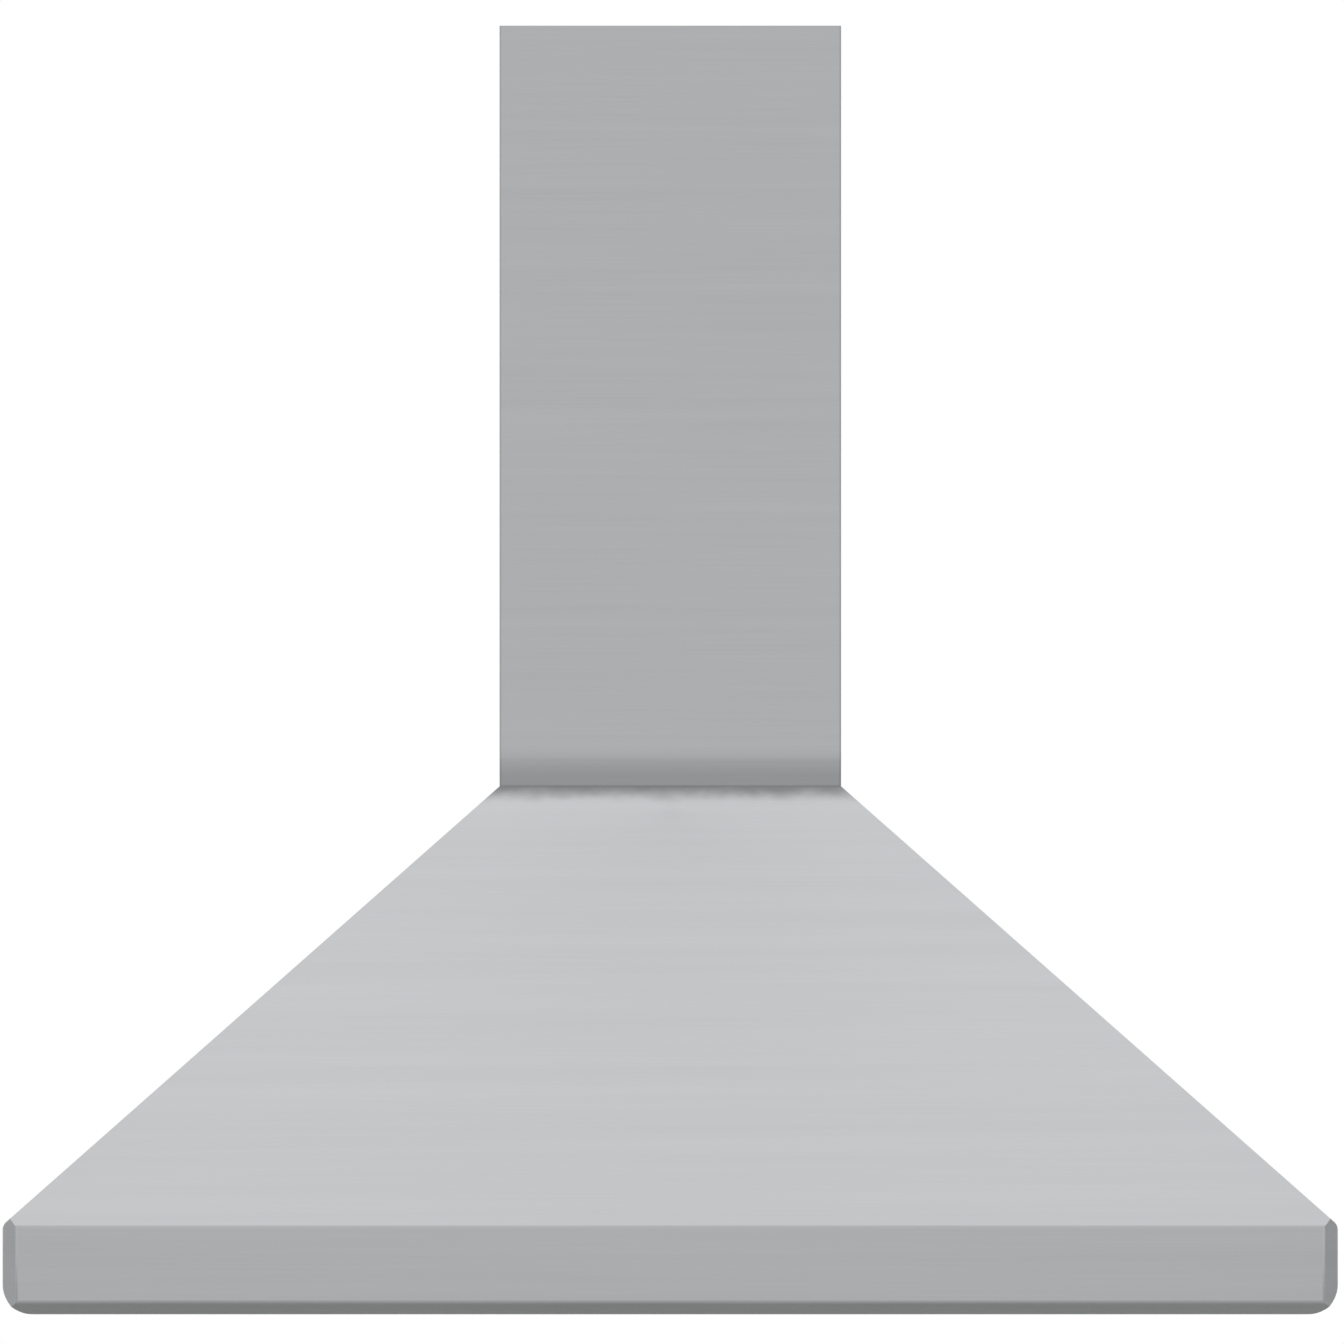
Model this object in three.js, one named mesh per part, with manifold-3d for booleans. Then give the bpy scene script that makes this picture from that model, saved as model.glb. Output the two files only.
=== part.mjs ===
// Wall-mounted chimney range hood, drawn at real size in millimetres, +Z up.
// The origin lies under the middle of the hood, level with the underside of its rim.
// -Y is the front that the cook sees and +Y is the wall.

import * as THREE from 'three';
import { ConvexGeometry } from 'three/addons/geometries/ConvexGeometry.js';
import { mergeVertices } from 'three/addons/utils/BufferGeometryUtils.js';
import Module from 'manifold-3d';

const wasm = await Module();
wasm.setup();

// ---------------------------------------------------------------- driving dimensions

// Outer shell
const hoodWidth = 1216;
const hoodDepth = 610;
const rimHeight = 81;
const rimFlange = 34;
const rimEdgeBevel = 12;
const rimCornerRadius = 29;
const canopyHeight = 475;
const bodySheet = 1.2;

// Chimney cover, in two sections that telescope
const chimneyWidth = 328;
const chimneyDepth = 290;
const chimneyHeight = 730;
const chimneySheet = 1;
const chimneyReturn = 18;
const chimneySlideClearance = 3;
const chimneyTopStep = 2;
const chimneyTabHeight = 12.5;
const chimneyTabLength = 60;

// Liner with the lamps, the controls and the filter opening
const linerSheet = 1;
const linerRecess = 24;
const linerSideWidth = 50;
const linerUpstand = 12.5;
const linerFrontDepth = 148;
const ledgeWidth = 30;

// Baffle filters
const filterCount = 3;
const filterLength = 376.6;
const filterThickness = 25;
const filterTilt = THREE.MathUtils.degToRad(8);
const filterSheet = 1;
const filterFrameFlange = 14;
const filterClearance = 1;
const filterHookLength = 10;
const filterPivotBack = 90;
const filterPivotHeight = 42;
const dividerWidth = 12;
const dividerCap = 30;
const dividerShoulderDrop = 4.8;
const baffleCount = 8;
const baffleWidth = 31;
const baffleDepth = 14;

// Wire pull on each filter
const pullDrop = 32;
const pullWire = 1.6;
const pullSetback = 40;
const pullPivotDrop = 4;
const earThickness = 1.5;
const earLength = 10;

// Grease tray
const trayDepth = 70;
const trayHeight = 22;
const traySheet = 0.8;
const trayTop = 34;
const trayWallGap = 12;
const traySideGap = 8;
const trayClipWidth = 40;
const trayClipHeight = 14;

// Lamps and push buttons
const lampCount = 4;
const lampRadius = 30;
const lampTrimWidth = 6;
const lampTrimThickness = 2;
const lampBodyHeight = 14;
const lampLensThickness = 3;
const lampSpacing = 300;
const buttonCount = 5;
const buttonRadius = 7;
const buttonPitch = 32;
const buttonTravel = 2.5;
const buttonProud = 4;
const buttonCollar = 1.6;
const buttonClearance = 0.3;
const buttonChamfer = 1;
const bezelLength = 184;
const bezelDepth = 34;
const bezelThickness = 2.4;
const bezelBorder = 8;
const boardThickness = 1.6;
const switchHeight = 5;

// Blower
const wheelRadius = 100;
const wheelInnerRadius = 82;
const wheelWidth = 172;
const wheelDiscOffset = 30;
const wheelRing = 2;
const bladeCount = 24;
const bladeWidth = 16.2;
const bladeThickness = 1.2;
const bladeLean = THREE.MathUtils.degToRad(35);
const hubRadius = 14;
const hubLength = 24;
const shaftRadius = 4;
const scrollSheet = 1;
const scrollStartRadius = 110;
const scrollEndRadius = 160;
const scrollStartAngle = THREE.MathUtils.degToRad(75);
const scrollCentreHeight = 285;
const scrollWidth = 190;
const inletThroat = 84;
const inletBell = 16;
const inletFlange = 14;
const motorRadius = 56;
const motorLength = 115;
const motorChamfer = 5;
const motorBossRadius = 9;
const motorBossHeight = 5;
const motorArmCount = 3;
const motorArmWidth = 16;
const motorArmThickness = 4;

// Outlet with its back-draught flaps
const ductRadius = 99;
const ductCentreFromWall = 145;
const ductSheet = 1.2;
const ductHeight = 70;
const ductFlange = 12;
const ductLedge = 4;
const ductLedgeHeight = 26;
const flapSheet = 0.8;
const flapPinRadius = 2.1;
const flapKnuckleWall = 1.1;
const flapKnuckleCount = 4;

// Wiring
const junctionWidth = 120;
const junctionHeight = 80;
const junctionDepth = 42;
const junctionSheet = 1.2;
const junctionLidDepth = 8.5;
const junctionFromScroll = 40;
const glandRadius = 8;
const glandNutRadius = 12.8;
const glandHeight = 19;
const harnessRadius = 3.5;
const harnessBend = 10.5;
const capacitorRadius = 17.5;
const capacitorLength = 70;

// Wall fixings
const hangingBarHeight = 26;
const hangingBarThickness = 3;
const hangingBarLength = 280;
const wallBoltRadius = 4;
const bracketHeight = 25;
const bracketSheet = 2;
const bracketEar = 30;

// Clearances, and how far a cutting solid reaches past what it cuts
const slantGap = 0.3;
const fitGap = 0.3;
const past = 1;

// ---------------------------------------------------------------- derived places

const halfWidth = hoodWidth / 2;
const frontY = -hoodDepth / 2;
const wallY = hoodDepth / 2;
const innerWallY = wallY - bodySheet;
const chimneyFrontY = wallY - chimneyDepth;
const slopeHeight = canopyHeight - rimHeight;
const frontRun = chimneyFrontY - frontY;
const sideRun = halfWidth - chimneyWidth / 2;
const topPlateUnderside = canopyHeight - bodySheet;
const linerHalfWidth = halfWidth - linerSideWidth;
const riserY = frontY + linerFrontDepth;
const linerPanelTop = linerRecess + linerSheet;
const filterPivotY = wallY - filterPivotBack;
const filterFrontLength = filterLength - filterHookLength;
const ductY = wallY - ductCentreFromWall;
const wheelCentreX = -(scrollStartRadius * Math.cos(scrollStartAngle) + scrollEndRadius) / 2;

// ---------------------------------------------------------------- solids

// A closed three.js geometry becomes a solid that can be joined and cut.
function solid(geometry) {
  const bare = geometry.clone();
  bare.deleteAttribute('normal');
  bare.deleteAttribute('uv');
  const merged = mergeVertices(bare, 1e-4);
  const mesh = new wasm.Mesh({
    numProp: 3,
    vertProperties: new Float32Array(merged.attributes.position.array),
    triVerts: new Uint32Array(merged.index.array),
  });
  return new wasm.Manifold(mesh);
}

function geometryOf(body) {
  const mesh = body.getMesh();
  const geometry = new THREE.BufferGeometry();
  geometry.setAttribute('position', new THREE.BufferAttribute(mesh.vertProperties, 3));
  geometry.setIndex(new THREE.BufferAttribute(mesh.triVerts, 1));
  geometry.computeVertexNormals();
  return geometry;
}

function join(first, ...others) {
  return others.reduce((sum, other) => sum.add(other), first);
}

function cut(first, ...tools) {
  return tools.reduce((rest, tool) => rest.subtract(tool), first);
}

function boxGeometry(x0, x1, y0, y1, z0, z1) {
  const geometry = new THREE.BoxGeometry(x1 - x0, y1 - y0, z1 - z0);
  geometry.translate((x0 + x1) / 2, (y0 + y1) / 2, (z0 + z1) / 2);
  return geometry;
}

function box(x0, x1, y0, y1, z0, z1) {
  return solid(boxGeometry(x0, x1, y0, y1, z0, z1));
}

// The same distance out from the middle, on the left (-1) or the right (1), as a span along X.
function spanOf(side, near, far) {
  return side < 0 ? [-far, -near] : [near, far];
}

// A cylinder along Z, from z0 to z1.
function post(radius, x, y, z0, z1, sides = 16) {
  const geometry = new THREE.CylinderGeometry(radius, radius, z1 - z0, sides);
  geometry.rotateX(Math.PI / 2);
  geometry.translate(x, y, (z0 + z1) / 2);
  return solid(geometry);
}

// A cylinder along Y, from y0 to y1.
function rodY(radius, x, z, y0, y1, sides = 24) {
  const geometry = new THREE.CylinderGeometry(radius, radius, y1 - y0, sides);
  geometry.translate(x, (y0 + y1) / 2, z);
  return solid(geometry);
}

// A cylinder along X, from x0 to x1.
function rodX(radius, y, z, x0, x1, sides = 16) {
  const geometry = new THREE.CylinderGeometry(radius, radius, x1 - x0, sides);
  geometry.rotateZ(Math.PI / 2);
  geometry.translate((x0 + x1) / 2, y, z);
  return solid(geometry);
}

function shapeOf(points) {
  return new THREE.Shape(points.map(([u, v]) => new THREE.Vector2(u, v)));
}

function extruded(shape, depth) {
  return new THREE.ExtrudeGeometry(shape, { depth, bevelEnabled: false, curveSegments: 6 });
}

// A plan outline in X and Y, raised from z0 to z1.
function prismZ(shape, z0, z1) {
  const geometry = extruded(shape, z1 - z0);
  geometry.translate(0, 0, z0);
  return solid(geometry);
}

// A front outline in X and Z, taken back from y0 to y1.
function prismY(shape, y0, y1) {
  const geometry = extruded(shape, y1 - y0);
  geometry.rotateX(Math.PI / 2);
  geometry.translate(0, y1, 0);
  return solid(geometry);
}

// A side outline in Y and Z, taken across from x0 to x1.
function prismXGeometry(shape, x0, x1) {
  const geometry = extruded(shape, x1 - x0);
  geometry.rotateX(Math.PI / 2);
  geometry.rotateZ(Math.PI / 2);
  geometry.translate(x0, 0, 0);
  return geometry;
}

function prismX(shape, x0, x1) {
  return solid(prismXGeometry(shape, x0, x1));
}

// A turned piece: points are radius and distance along the axis, which is Y.
function turnedY(points, x, y, z, sides = 24) {
  const profile = points.map(([radius, along]) => new THREE.Vector2(radius, along));
  const geometry = new THREE.LatheGeometry([...profile, profile[0]], sides);
  geometry.translate(x, y, z);
  return outwards(geometry);
}

// The same, with its axis along Z.
function turnedZ(points, x, y, z, sides = 24) {
  const profile = points.map(([radius, along]) => new THREE.Vector2(radius, along));
  const geometry = new THREE.LatheGeometry([...profile, profile[0]], sides);
  geometry.rotateX(Math.PI / 2);
  geometry.translate(x, y, z);
  return outwards(geometry);
}

// A turned profile drawn the other way round gives a solid that is inside out: its faces are flipped.
function outwards(geometry) {
  const body = solid(geometry);
  if (body.volume() > 0) {
    return body;
  }
  const index = geometry.index.array;
  for (let face = 0; face < index.length; face += 3) {
    [index[face], index[face + 1]] = [index[face + 1], index[face]];
  }
  return solid(geometry);
}

function round(radius, sides = 8) {
  return new THREE.Shape(new THREE.EllipseCurve(0, 0, radius, radius).getPoints(sides).slice(0, -1));
}

// A round wire or lead that runs straight between its points and bends round each inner one.
function wire(places, radius, bend, steps, sides = 6) {
  const points = places.map((place) => new THREE.Vector3(...place));
  const path = new THREE.CurvePath();
  let start = points[0];
  for (let index = 1; index < points.length - 1; index += 1) {
    const corner = points[index];
    const before = start.clone().sub(corner).setLength(bend).add(corner);
    const after = points[index + 1].clone().sub(corner).setLength(bend).add(corner);
    path.add(new THREE.LineCurve3(start, before));
    path.add(new THREE.QuadraticBezierCurve3(before, corner, after));
    start = after;
  }
  path.add(new THREE.LineCurve3(start, points[points.length - 1]));
  const section = round(radius, sides);
  return solid(new THREE.ExtrudeGeometry(section, { extrudePath: path, steps, bevelEnabled: false }));
}

// ---------------------------------------------------------------- finishes

const finishes = {
  brushedSteel: { color: 0xc3c5c6, roughness: 0.36, metalness: 1 },
  galvanised: { color: 0xa9adb0, roughness: 0.48, metalness: 1 },
  darkPaint: { color: 0x3b3e42, roughness: 0.55, metalness: 0.2 },
  polishedSteel: { color: 0xd4d6d8, roughness: 0.18, metalness: 1 },
  blackPlastic: { color: 0x1d1e20, roughness: 0.45, metalness: 0 },
  greyPlastic: { color: 0x8c8f92, roughness: 0.5, metalness: 0 },
  frostedGlass: { color: 0xeef1f0, roughness: 0.35, metalness: 0 },
  circuitBoard: { color: 0x1f5a36, roughness: 0.5, metalness: 0 },
  aluminium: { color: 0xb9bcbf, roughness: 0.4, metalness: 1 },
  blackRubber: { color: 0x17181a, roughness: 0.7, metalness: 0 },
};

const hood = new THREE.Group();
hood.name = 'range_hood';

function section(name, parent = hood) {
  const group = new THREE.Group();
  group.name = name;
  parent.add(group);
  return group;
}

function place(parent, name, body, finish) {
  const mesh = new THREE.Mesh(geometryOf(body), new THREE.MeshStandardMaterial(finishes[finish]));
  mesh.name = name;
  parent.add(mesh);
  return mesh;
}

// ---------------------------------------------------------------- canopy shell

const shell = section('canopy');
const frontSlant = Math.hypot(1, frontRun / slopeHeight);
const sideSlant = Math.hypot(1, sideRun / slopeHeight);

// Where the sloped sheets stand at a height, drawn in by a depth measured square to the sheet.
function slopeFrontY(height, depth = 0) {
  return frontY + (frontRun * (height - rimHeight)) / slopeHeight + depth * frontSlant;
}

function slopeHalfWidth(height, depth = 0) {
  return halfWidth - (sideRun * (height - rimHeight)) / slopeHeight - depth * sideSlant;
}

// The front slope is one flat sheet, mitred along both hips.
function canopyFront() {
  const corners = [];
  for (const height of [rimHeight, canopyHeight]) {
    for (const depth of [0, bodySheet]) {
      const x = slopeHalfWidth(height, depth) - slantGap;
      corners.push(new THREE.Vector3(-x, slopeFrontY(height, depth), height));
      corners.push(new THREE.Vector3(x, slopeFrontY(height, depth), height));
    }
  }
  return solid(new ConvexGeometry(corners));
}

function canopySide(side) {
  const corners = [];
  for (const height of [rimHeight, canopyHeight]) {
    for (const depth of [0, bodySheet]) {
      const x = side * slopeHalfWidth(height, depth);
      corners.push(new THREE.Vector3(x, slopeFrontY(height, depth) + slantGap, height));
      corners.push(new THREE.Vector3(x, innerWallY, height));
    }
  }
  return solid(new ConvexGeometry(corners));
}

place(shell, 'canopy_front', canopyFront(), 'brushedSteel');
place(shell, 'canopy_left', canopySide(-1), 'brushedSteel');
place(shell, 'canopy_right', canopySide(1), 'brushedSteel');

// The rim's three outlines, each drawn in by the sheet's thickness for its inner side.
function bevelLeft(inset) {
  return rimEdgeBevel - inset * (2 - Math.SQRT2);
}

function rimPlan(inset, back) {
  const x = halfWidth - inset;
  const y = frontY + inset;
  const bevel = bevelLeft(inset);
  return shapeOf([
    [-x, back],
    [-x, y + bevel],
    [-x + bevel, y],
    [x - bevel, y],
    [x, y + bevel],
    [x, back],
  ]);
}

function rimSide(inset, top, back) {
  const y = frontY + inset;
  const bevel = bevelLeft(inset);
  return shapeOf([
    [y, top],
    [y, inset + bevel],
    [y + bevel, inset],
    [back, inset],
    [back, top],
  ]);
}

function rimFace(inset, top) {
  const x = halfWidth - inset;
  const radius = rimCornerRadius - inset;
  const shape = new THREE.Shape();
  shape.moveTo(-x, top);
  shape.lineTo(-x, inset + radius);
  shape.absarc(-x + radius, inset + radius, radius, Math.PI, 1.5 * Math.PI, false);
  shape.absarc(x - radius, inset + radius, radius, 1.5 * Math.PI, 2 * Math.PI, false);
  shape.lineTo(x, top);
  return shape;
}

function rimBlock(inset, top, back) {
  const plan = prismZ(rimPlan(inset, back), inset, top);
  const side = prismX(rimSide(inset, top, back), -halfWidth, halfWidth);
  const face = prismY(rimFace(inset, top), frontY, back);
  return plan.intersect(side).intersect(face);
}

function rimShell() {
  const outer = rimBlock(0, rimHeight, innerWallY);
  const inner = rimBlock(bodySheet, rimHeight + bodySheet, innerWallY + bodySheet);
  const mouthX = halfWidth - rimFlange;
  const mouth = box(-mouthX, mouthX, frontY + rimFlange, wallY, -past, bodySheet + past);
  return cut(outer, inner, mouth);
}

// The rim's front and sides meet in a mitre at each corner.
function mitreFront() {
  const reach = 2 * rimFlange;
  const left = -halfWidth + slantGap;
  return shapeOf([
    [left - reach, frontY - reach],
    [-left + reach, frontY - reach],
    [-left - reach, frontY + reach],
    [left + reach, frontY + reach],
  ]);
}

function mitreSide(side) {
  const reach = 2 * rimFlange;
  const x = side * halfWidth;
  return shapeOf([
    [x + side * reach, frontY - reach + slantGap],
    [x - side * reach, frontY + reach + slantGap],
    [x - side * reach, wallY],
    [x + side * reach, wallY],
  ]);
}

const rim = rimShell();
place(shell, 'rim_front', rim.intersect(prismZ(mitreFront(), 0, rimHeight)), 'brushedSteel');
place(shell, 'rim_left', rim.intersect(prismZ(mitreSide(-1), 0, rimHeight)), 'brushedSteel');
place(shell, 'rim_right', rim.intersect(prismZ(mitreSide(1), 0, rimHeight)), 'brushedSteel');

// The back panel closes the canopy against the wall; two bolts pass through it and the hanging bar.
const boltX = hangingBarLength / 2 - hangingBarHeight;
const hangingBarTop = topPlateUnderside - hangingBarHeight / 2;
const boltHeight = hangingBarTop - hangingBarHeight / 2;

function wallBoltHoles(y0, y1) {
  const left = rodY(wallBoltRadius, -boltX, boltHeight, y0, y1);
  const right = rodY(wallBoltRadius, boltX, boltHeight, y0, y1);
  return join(left, right);
}

function backPanel() {
  const outline = rimFace(0, rimHeight);
  const shape = new THREE.Shape(outline.getPoints(6));
  shape.lineTo(chimneyWidth / 2, canopyHeight);
  shape.lineTo(-chimneyWidth / 2, canopyHeight);
  return cut(prismY(shape, innerWallY, wallY), wallBoltHoles(innerWallY - past, wallY + past));
}

function hangingBar() {
  const front = innerWallY - hangingBarThickness;
  const half = hangingBarLength / 2;
  const bar = box(-half, half, front, innerWallY, hangingBarTop - hangingBarHeight, hangingBarTop);
  return cut(bar, wallBoltHoles(front - past, innerWallY + past));
}

place(shell, 'back_panel', backPanel(), 'galvanised');
place(shell, 'hanging_bar', hangingBar(), 'galvanised');

// ---------------------------------------------------------------- chimney cover

const cover = section('chimney');
const upperInset = chimneySheet + chimneySlideClearance;
const upperHalfWidth = chimneyWidth / 2 - upperInset;
const upperFrontY = chimneyFrontY + upperInset;
const upperBackY = wallY - upperInset;
const upperBottom = canopyHeight + fitGap;
const chimneyTop = canopyHeight + chimneyHeight;
const upperTop = chimneyTop - chimneyTopStep;

// A chimney section is one sheet folded into a U, with a narrow return along each back edge.
function chimneySection(halfSpan, front, back, z0, z1) {
  const outer = box(-halfSpan, halfSpan, front, back, z0, z1);
  const bore = halfSpan - chimneySheet;
  const inside = box(-bore, bore, front + chimneySheet, back - chimneySheet, z0 - past, z1 + past);
  const slot = halfSpan - chimneyReturn;
  const open = box(-slot, slot, back - 2 * chimneySheet, back + past, z0 - past, z1 + past);
  return cut(outer, inside, open);
}

place(
  cover,
  'chimney_lower',
  chimneySection(chimneyWidth / 2, chimneyFrontY, wallY, canopyHeight, chimneyTop),
  'brushedSteel',
);
place(
  cover,
  'chimney_upper',
  chimneySection(upperHalfWidth, upperFrontY, upperBackY, upperBottom, upperTop),
  'brushedSteel',
);

// The wall bracket holds the chimney's top end: a wall strip with an ear inside each side.
function chimneyBracket() {
  const half = upperHalfWidth - chimneySheet - fitGap;
  const back = upperBackY - chimneySheet - fitGap;
  const bottom = upperTop - 2 * bracketHeight;
  const top = bottom + bracketHeight;
  const padHalf = half - 2 * chimneyReturn;
  const strip = box(-half, half, back - bracketSheet, back, bottom, top);
  const pad = box(-padHalf, padHalf, back, wallY, bottom, top);
  const left = box(-half, -half + bracketSheet, back - bracketEar, back, bottom, top);
  const right = box(half - bracketSheet, half, back - bracketEar, back, bottom, top);
  return join(strip, pad, left, right);
}

place(cover, 'chimney_bracket', chimneyBracket(), 'galvanised');

// The top plate closes the canopy, carries the blower and locates the chimney with three tabs.
const plateHalfWidth = slopeHalfWidth(canopyHeight, bodySheet) - slantGap;
const plateFrontY = slopeFrontY(canopyHeight, bodySheet) + slantGap;
const glandX = chimneyWidth / 2 - chimneyReturn - glandRadius;
const glandY = wallY - chimneyReturn - 2 * glandRadius;

function topPlate() {
  const low = topPlateUnderside;
  const high = canopyHeight + chimneyTabHeight;
  const half = chimneyTabLength / 2;
  const tabX = upperHalfWidth - chimneySheet - fitGap;
  const tabY = upperFrontY + chimneySheet + fitGap;
  const plate = box(-plateHalfWidth, plateHalfWidth, plateFrontY, innerWallY, low, canopyHeight);
  const left = box(-tabX, -tabX + bodySheet, ductY - half, ductY + half, low, high);
  const right = box(tabX - bodySheet, tabX, ductY - half, ductY + half, low, high);
  const front = box(-half, half, tabY, tabY + bodySheet, low, high);
  const ductHole = post(ductRadius - ductSheet, 0, ductY, low - past, canopyHeight + past, 36);
  const glandHole = post(glandRadius + fitGap, glandX, glandY, low - past, canopyHeight + past);
  return cut(join(plate, left, right, front), ductHole, glandHole);
}

place(cover, 'top_plate', topPlate(), 'galvanised');

// ---------------------------------------------------------------- liner

const liner = section('liner');
const filterBank = section('filter_bank');
filterBank.position.set(0, filterPivotY, filterPivotHeight);
filterBank.rotation.x = -filterTilt;
filterBank.updateMatrixWorld(true);

// The slope that the filters lie on: a point this far forward of the pivot and this far above the underside.
function bankPoint(forward, above) {
  const point = new THREE.Vector3(0, -forward, above).applyMatrix4(filterBank.matrixWorld);
  return { y: point.y, z: point.z };
}

const filterTopClear = filterThickness + filterClearance;
const capTop = filterTopClear + filterSheet;
const frontTop = bankPoint(filterFrontLength, filterTopClear + filterClearance);
const ledgeHeight = frontTop.z;
const rimBoreRadius = rimCornerRadius - bodySheet;
const rimRoundLeft = Math.max(rimCornerRadius - linerRecess, 0);
const rimBoreReach = Math.sqrt(rimBoreRadius ** 2 - rimRoundLeft ** 2);
const linerOuterHalf = halfWidth - rimCornerRadius + rimBoreReach - fitGap;
const linerInset = halfWidth - linerOuterHalf;
const lampY = frontY + rimFlange + (riserY - frontY - rimFlange) / 2;

function evenly(count, spacing) {
  return Array.from({ length: count }, (_, index) => (index - (count - 1) / 2) * spacing);
}

const lampXs = evenly(lampCount, lampSpacing);
const buttonXs = evenly(buttonCount, buttonPitch);

// The front liner carries lamps and buttons; its back edge rises to a ledge over the filters' front ends.
function linerFront() {
  const low = linerRecess;
  const high = linerPanelTop;
  const front = frontY + linerInset;
  const panel = prismZ(rimPlan(linerInset, riserY + linerSheet), low, high);
  const skirtHalf = halfWidth - rimEdgeBevel;
  const skirt = box(-skirtHalf, skirtHalf, front, front + linerSheet, low, high + linerUpstand);
  const riserHalf = linerHalfWidth - fitGap;
  const riser = box(-riserHalf, riserHalf, riserY, riserY + linerSheet, low, ledgeHeight + linerSheet);
  const ledgeEnd = riserY + ledgeWidth;
  const ledge = box(-riserHalf, riserHalf, riserY, ledgeEnd, ledgeHeight, ledgeHeight + linerSheet);
  const lampHoles = lampXs.map((x) => post(lampRadius + fitGap, x, lampY, low - past, high + past, 20));
  const half = { x: bezelLength / 2 - bezelBorder, y: bezelDepth / 2 - bezelBorder / 2 };
  const controlHole = box(-half.x, half.x, lampY - half.y, lampY + half.y, low - past, high + past);
  return cut(join(panel, skirt, riser, ledge), ...lampHoles, controlHole);
}

// A box drawn in the filters' own slope: forward runs up the slope, above is square to it.
function bankBox(x0, x1, forward0, forward1, above0, above1) {
  const geometry = boxGeometry(x0, x1, -forward1, -forward0, above0, above1);
  return solid(geometry.applyMatrix4(filterBank.matrixWorld));
}

// The cap strips over the filters' edges stop short of the arc that the filters' tails swing through.
const hookClear = filterHookLength + filterClearance;
const capEnd = filterFrontLength - ledgeWidth;

// Each side liner is a shelf, an upright beside the filters and a cap strip over their outer edge.
function linerSide(side) {
  const inner = linerHalfWidth;
  const outer = linerOuterHalf;
  const start = riserY + linerSheet + fitGap;
  const end = innerWallY - fitGap;
  const rearTop = bankPoint(0, capTop);
  const outline = shapeOf([
    [start, linerRecess],
    [end, linerRecess],
    [end, rearTop.z],
    [rearTop.y, rearTop.z],
    [start, ledgeHeight - fitGap],
  ]);
  const skirtSpan = spanOf(side, outer - linerSheet, outer);
  const upright = prismX(outline, ...spanOf(side, inner, inner + linerSheet));
  const shelf = box(...spanOf(side, inner, outer), start, end, linerRecess, linerPanelTop);
  const skirt = box(...skirtSpan, start, end, linerRecess, linerPanelTop + linerUpstand);
  const capSpan = spanOf(side, inner - dividerCap / 2, inner + linerSheet / 2);
  const cap = bankBox(...capSpan, hookClear, capEnd, filterTopClear, capTop);
  return join(upright, shelf, skirt, cap);
}

place(liner, 'liner_front', linerFront(), 'brushedSteel');
place(liner, 'liner_left', linerSide(-1), 'brushedSteel');
place(liner, 'liner_right', linerSide(1), 'brushedSteel');

// ---------------------------------------------------------------- filters

const slotWidth = (2 * linerHalfWidth - (filterCount - 1) * dividerWidth) / filterCount;
const filterWidth = slotWidth - 2 * filterClearance;
const filterXs = evenly(filterCount, slotWidth + dividerWidth);
const filterNames = ['left', 'middle', 'right'];
const bafflePitch = (filterWidth - 2 * filterSheet) / baffleCount;
const earDrop = pullPivotDrop + earLength / 2;

// A baffle is a shallow channel that runs up the slope; the lower row opens upwards, the upper row down.
function baffle(x, upper) {
  const half = baffleWidth / 2;
  const back = filterHookLength - filterSheet / 2;
  const front = -filterFrontLength + filterSheet / 2;
  const low = filterSheet / 2;
  const high = low + baffleDepth;
  const bottom = upper ? filterThickness - high : low;
  const top = upper ? filterThickness - low : high;
  const outer = box(x - half, x + half, front, back, bottom, top);
  const floor = upper ? bottom - past : bottom + filterSheet;
  const roof = upper ? top - filterSheet : top + past;
  const hollow = box(x - half + filterSheet, x + half - filterSheet, front - past, back + past, floor, roof);
  return cut(outer, hollow);
}

// An ear under a middle baffle takes one end of the wire pull.
function pullEar(x, y) {
  const half = earThickness / 2;
  const reach = earLength / 2;
  const plate = box(x - half, x + half, y - reach, y + reach, -earDrop, filterSheet);
  return cut(plate, rodX(pullWire + fitGap, y, -pullPivotDrop, x - earThickness, x + earThickness, 12));
}

function filterBody() {
  const half = filterWidth / 2;
  const back = filterHookLength;
  const front = -filterFrontLength;
  const wall = filterSheet;
  const rim = filterFrameFlange;
  const outer = box(-half, half, front, back, 0, filterThickness);
  const inside = box(-half + wall, half - wall, front + wall, back - wall, wall, filterThickness - wall);
  const window = box(-half + rim, half - rim, front + rim, back - rim, -past, filterThickness + past);
  const lower = evenly(baffleCount, bafflePitch).map((x) => baffle(x, false));
  const upper = evenly(baffleCount - 1, bafflePitch).map((x) => baffle(x, true));
  const earY = front + pullSetback;
  const ears = [-bafflePitch / 2, bafflePitch / 2].map((x) => pullEar(x, earY));
  return join(cut(outer, inside, window), ...lower, ...upper, ...ears);
}

// A ball of wire's thickness rounds each corner where a round wire turns.
function wireBall(radius, x, y, z) {
  const geometry = new THREE.SphereGeometry(radius, 8, 6);
  geometry.rotateX(Math.PI / 2);
  geometry.translate(x, y, z);
  return solid(geometry);
}

// The pull hangs straight down from its ears, whatever the slope of the filter.
function pullBody() {
  const leg = bafflePitch / 2 + earThickness / 2 + fitGap + pullWire;
  const stub = bafflePitch / 2 - earThickness / 2 - pullWire;
  const parts = [rodX(pullWire, 0, -pullDrop, -leg, leg, 8)];
  for (const side of [-1, 1]) {
    parts.push(rodX(pullWire, 0, 0, ...spanOf(side, stub, leg), 8));
    parts.push(post(pullWire, side * leg, 0, -pullDrop, 0, 8));
    parts.push(wireBall(pullWire, side * leg, 0, 0));
    parts.push(wireBall(pullWire, side * leg, 0, -pullDrop));
  }
  return join(...parts);
}

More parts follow.
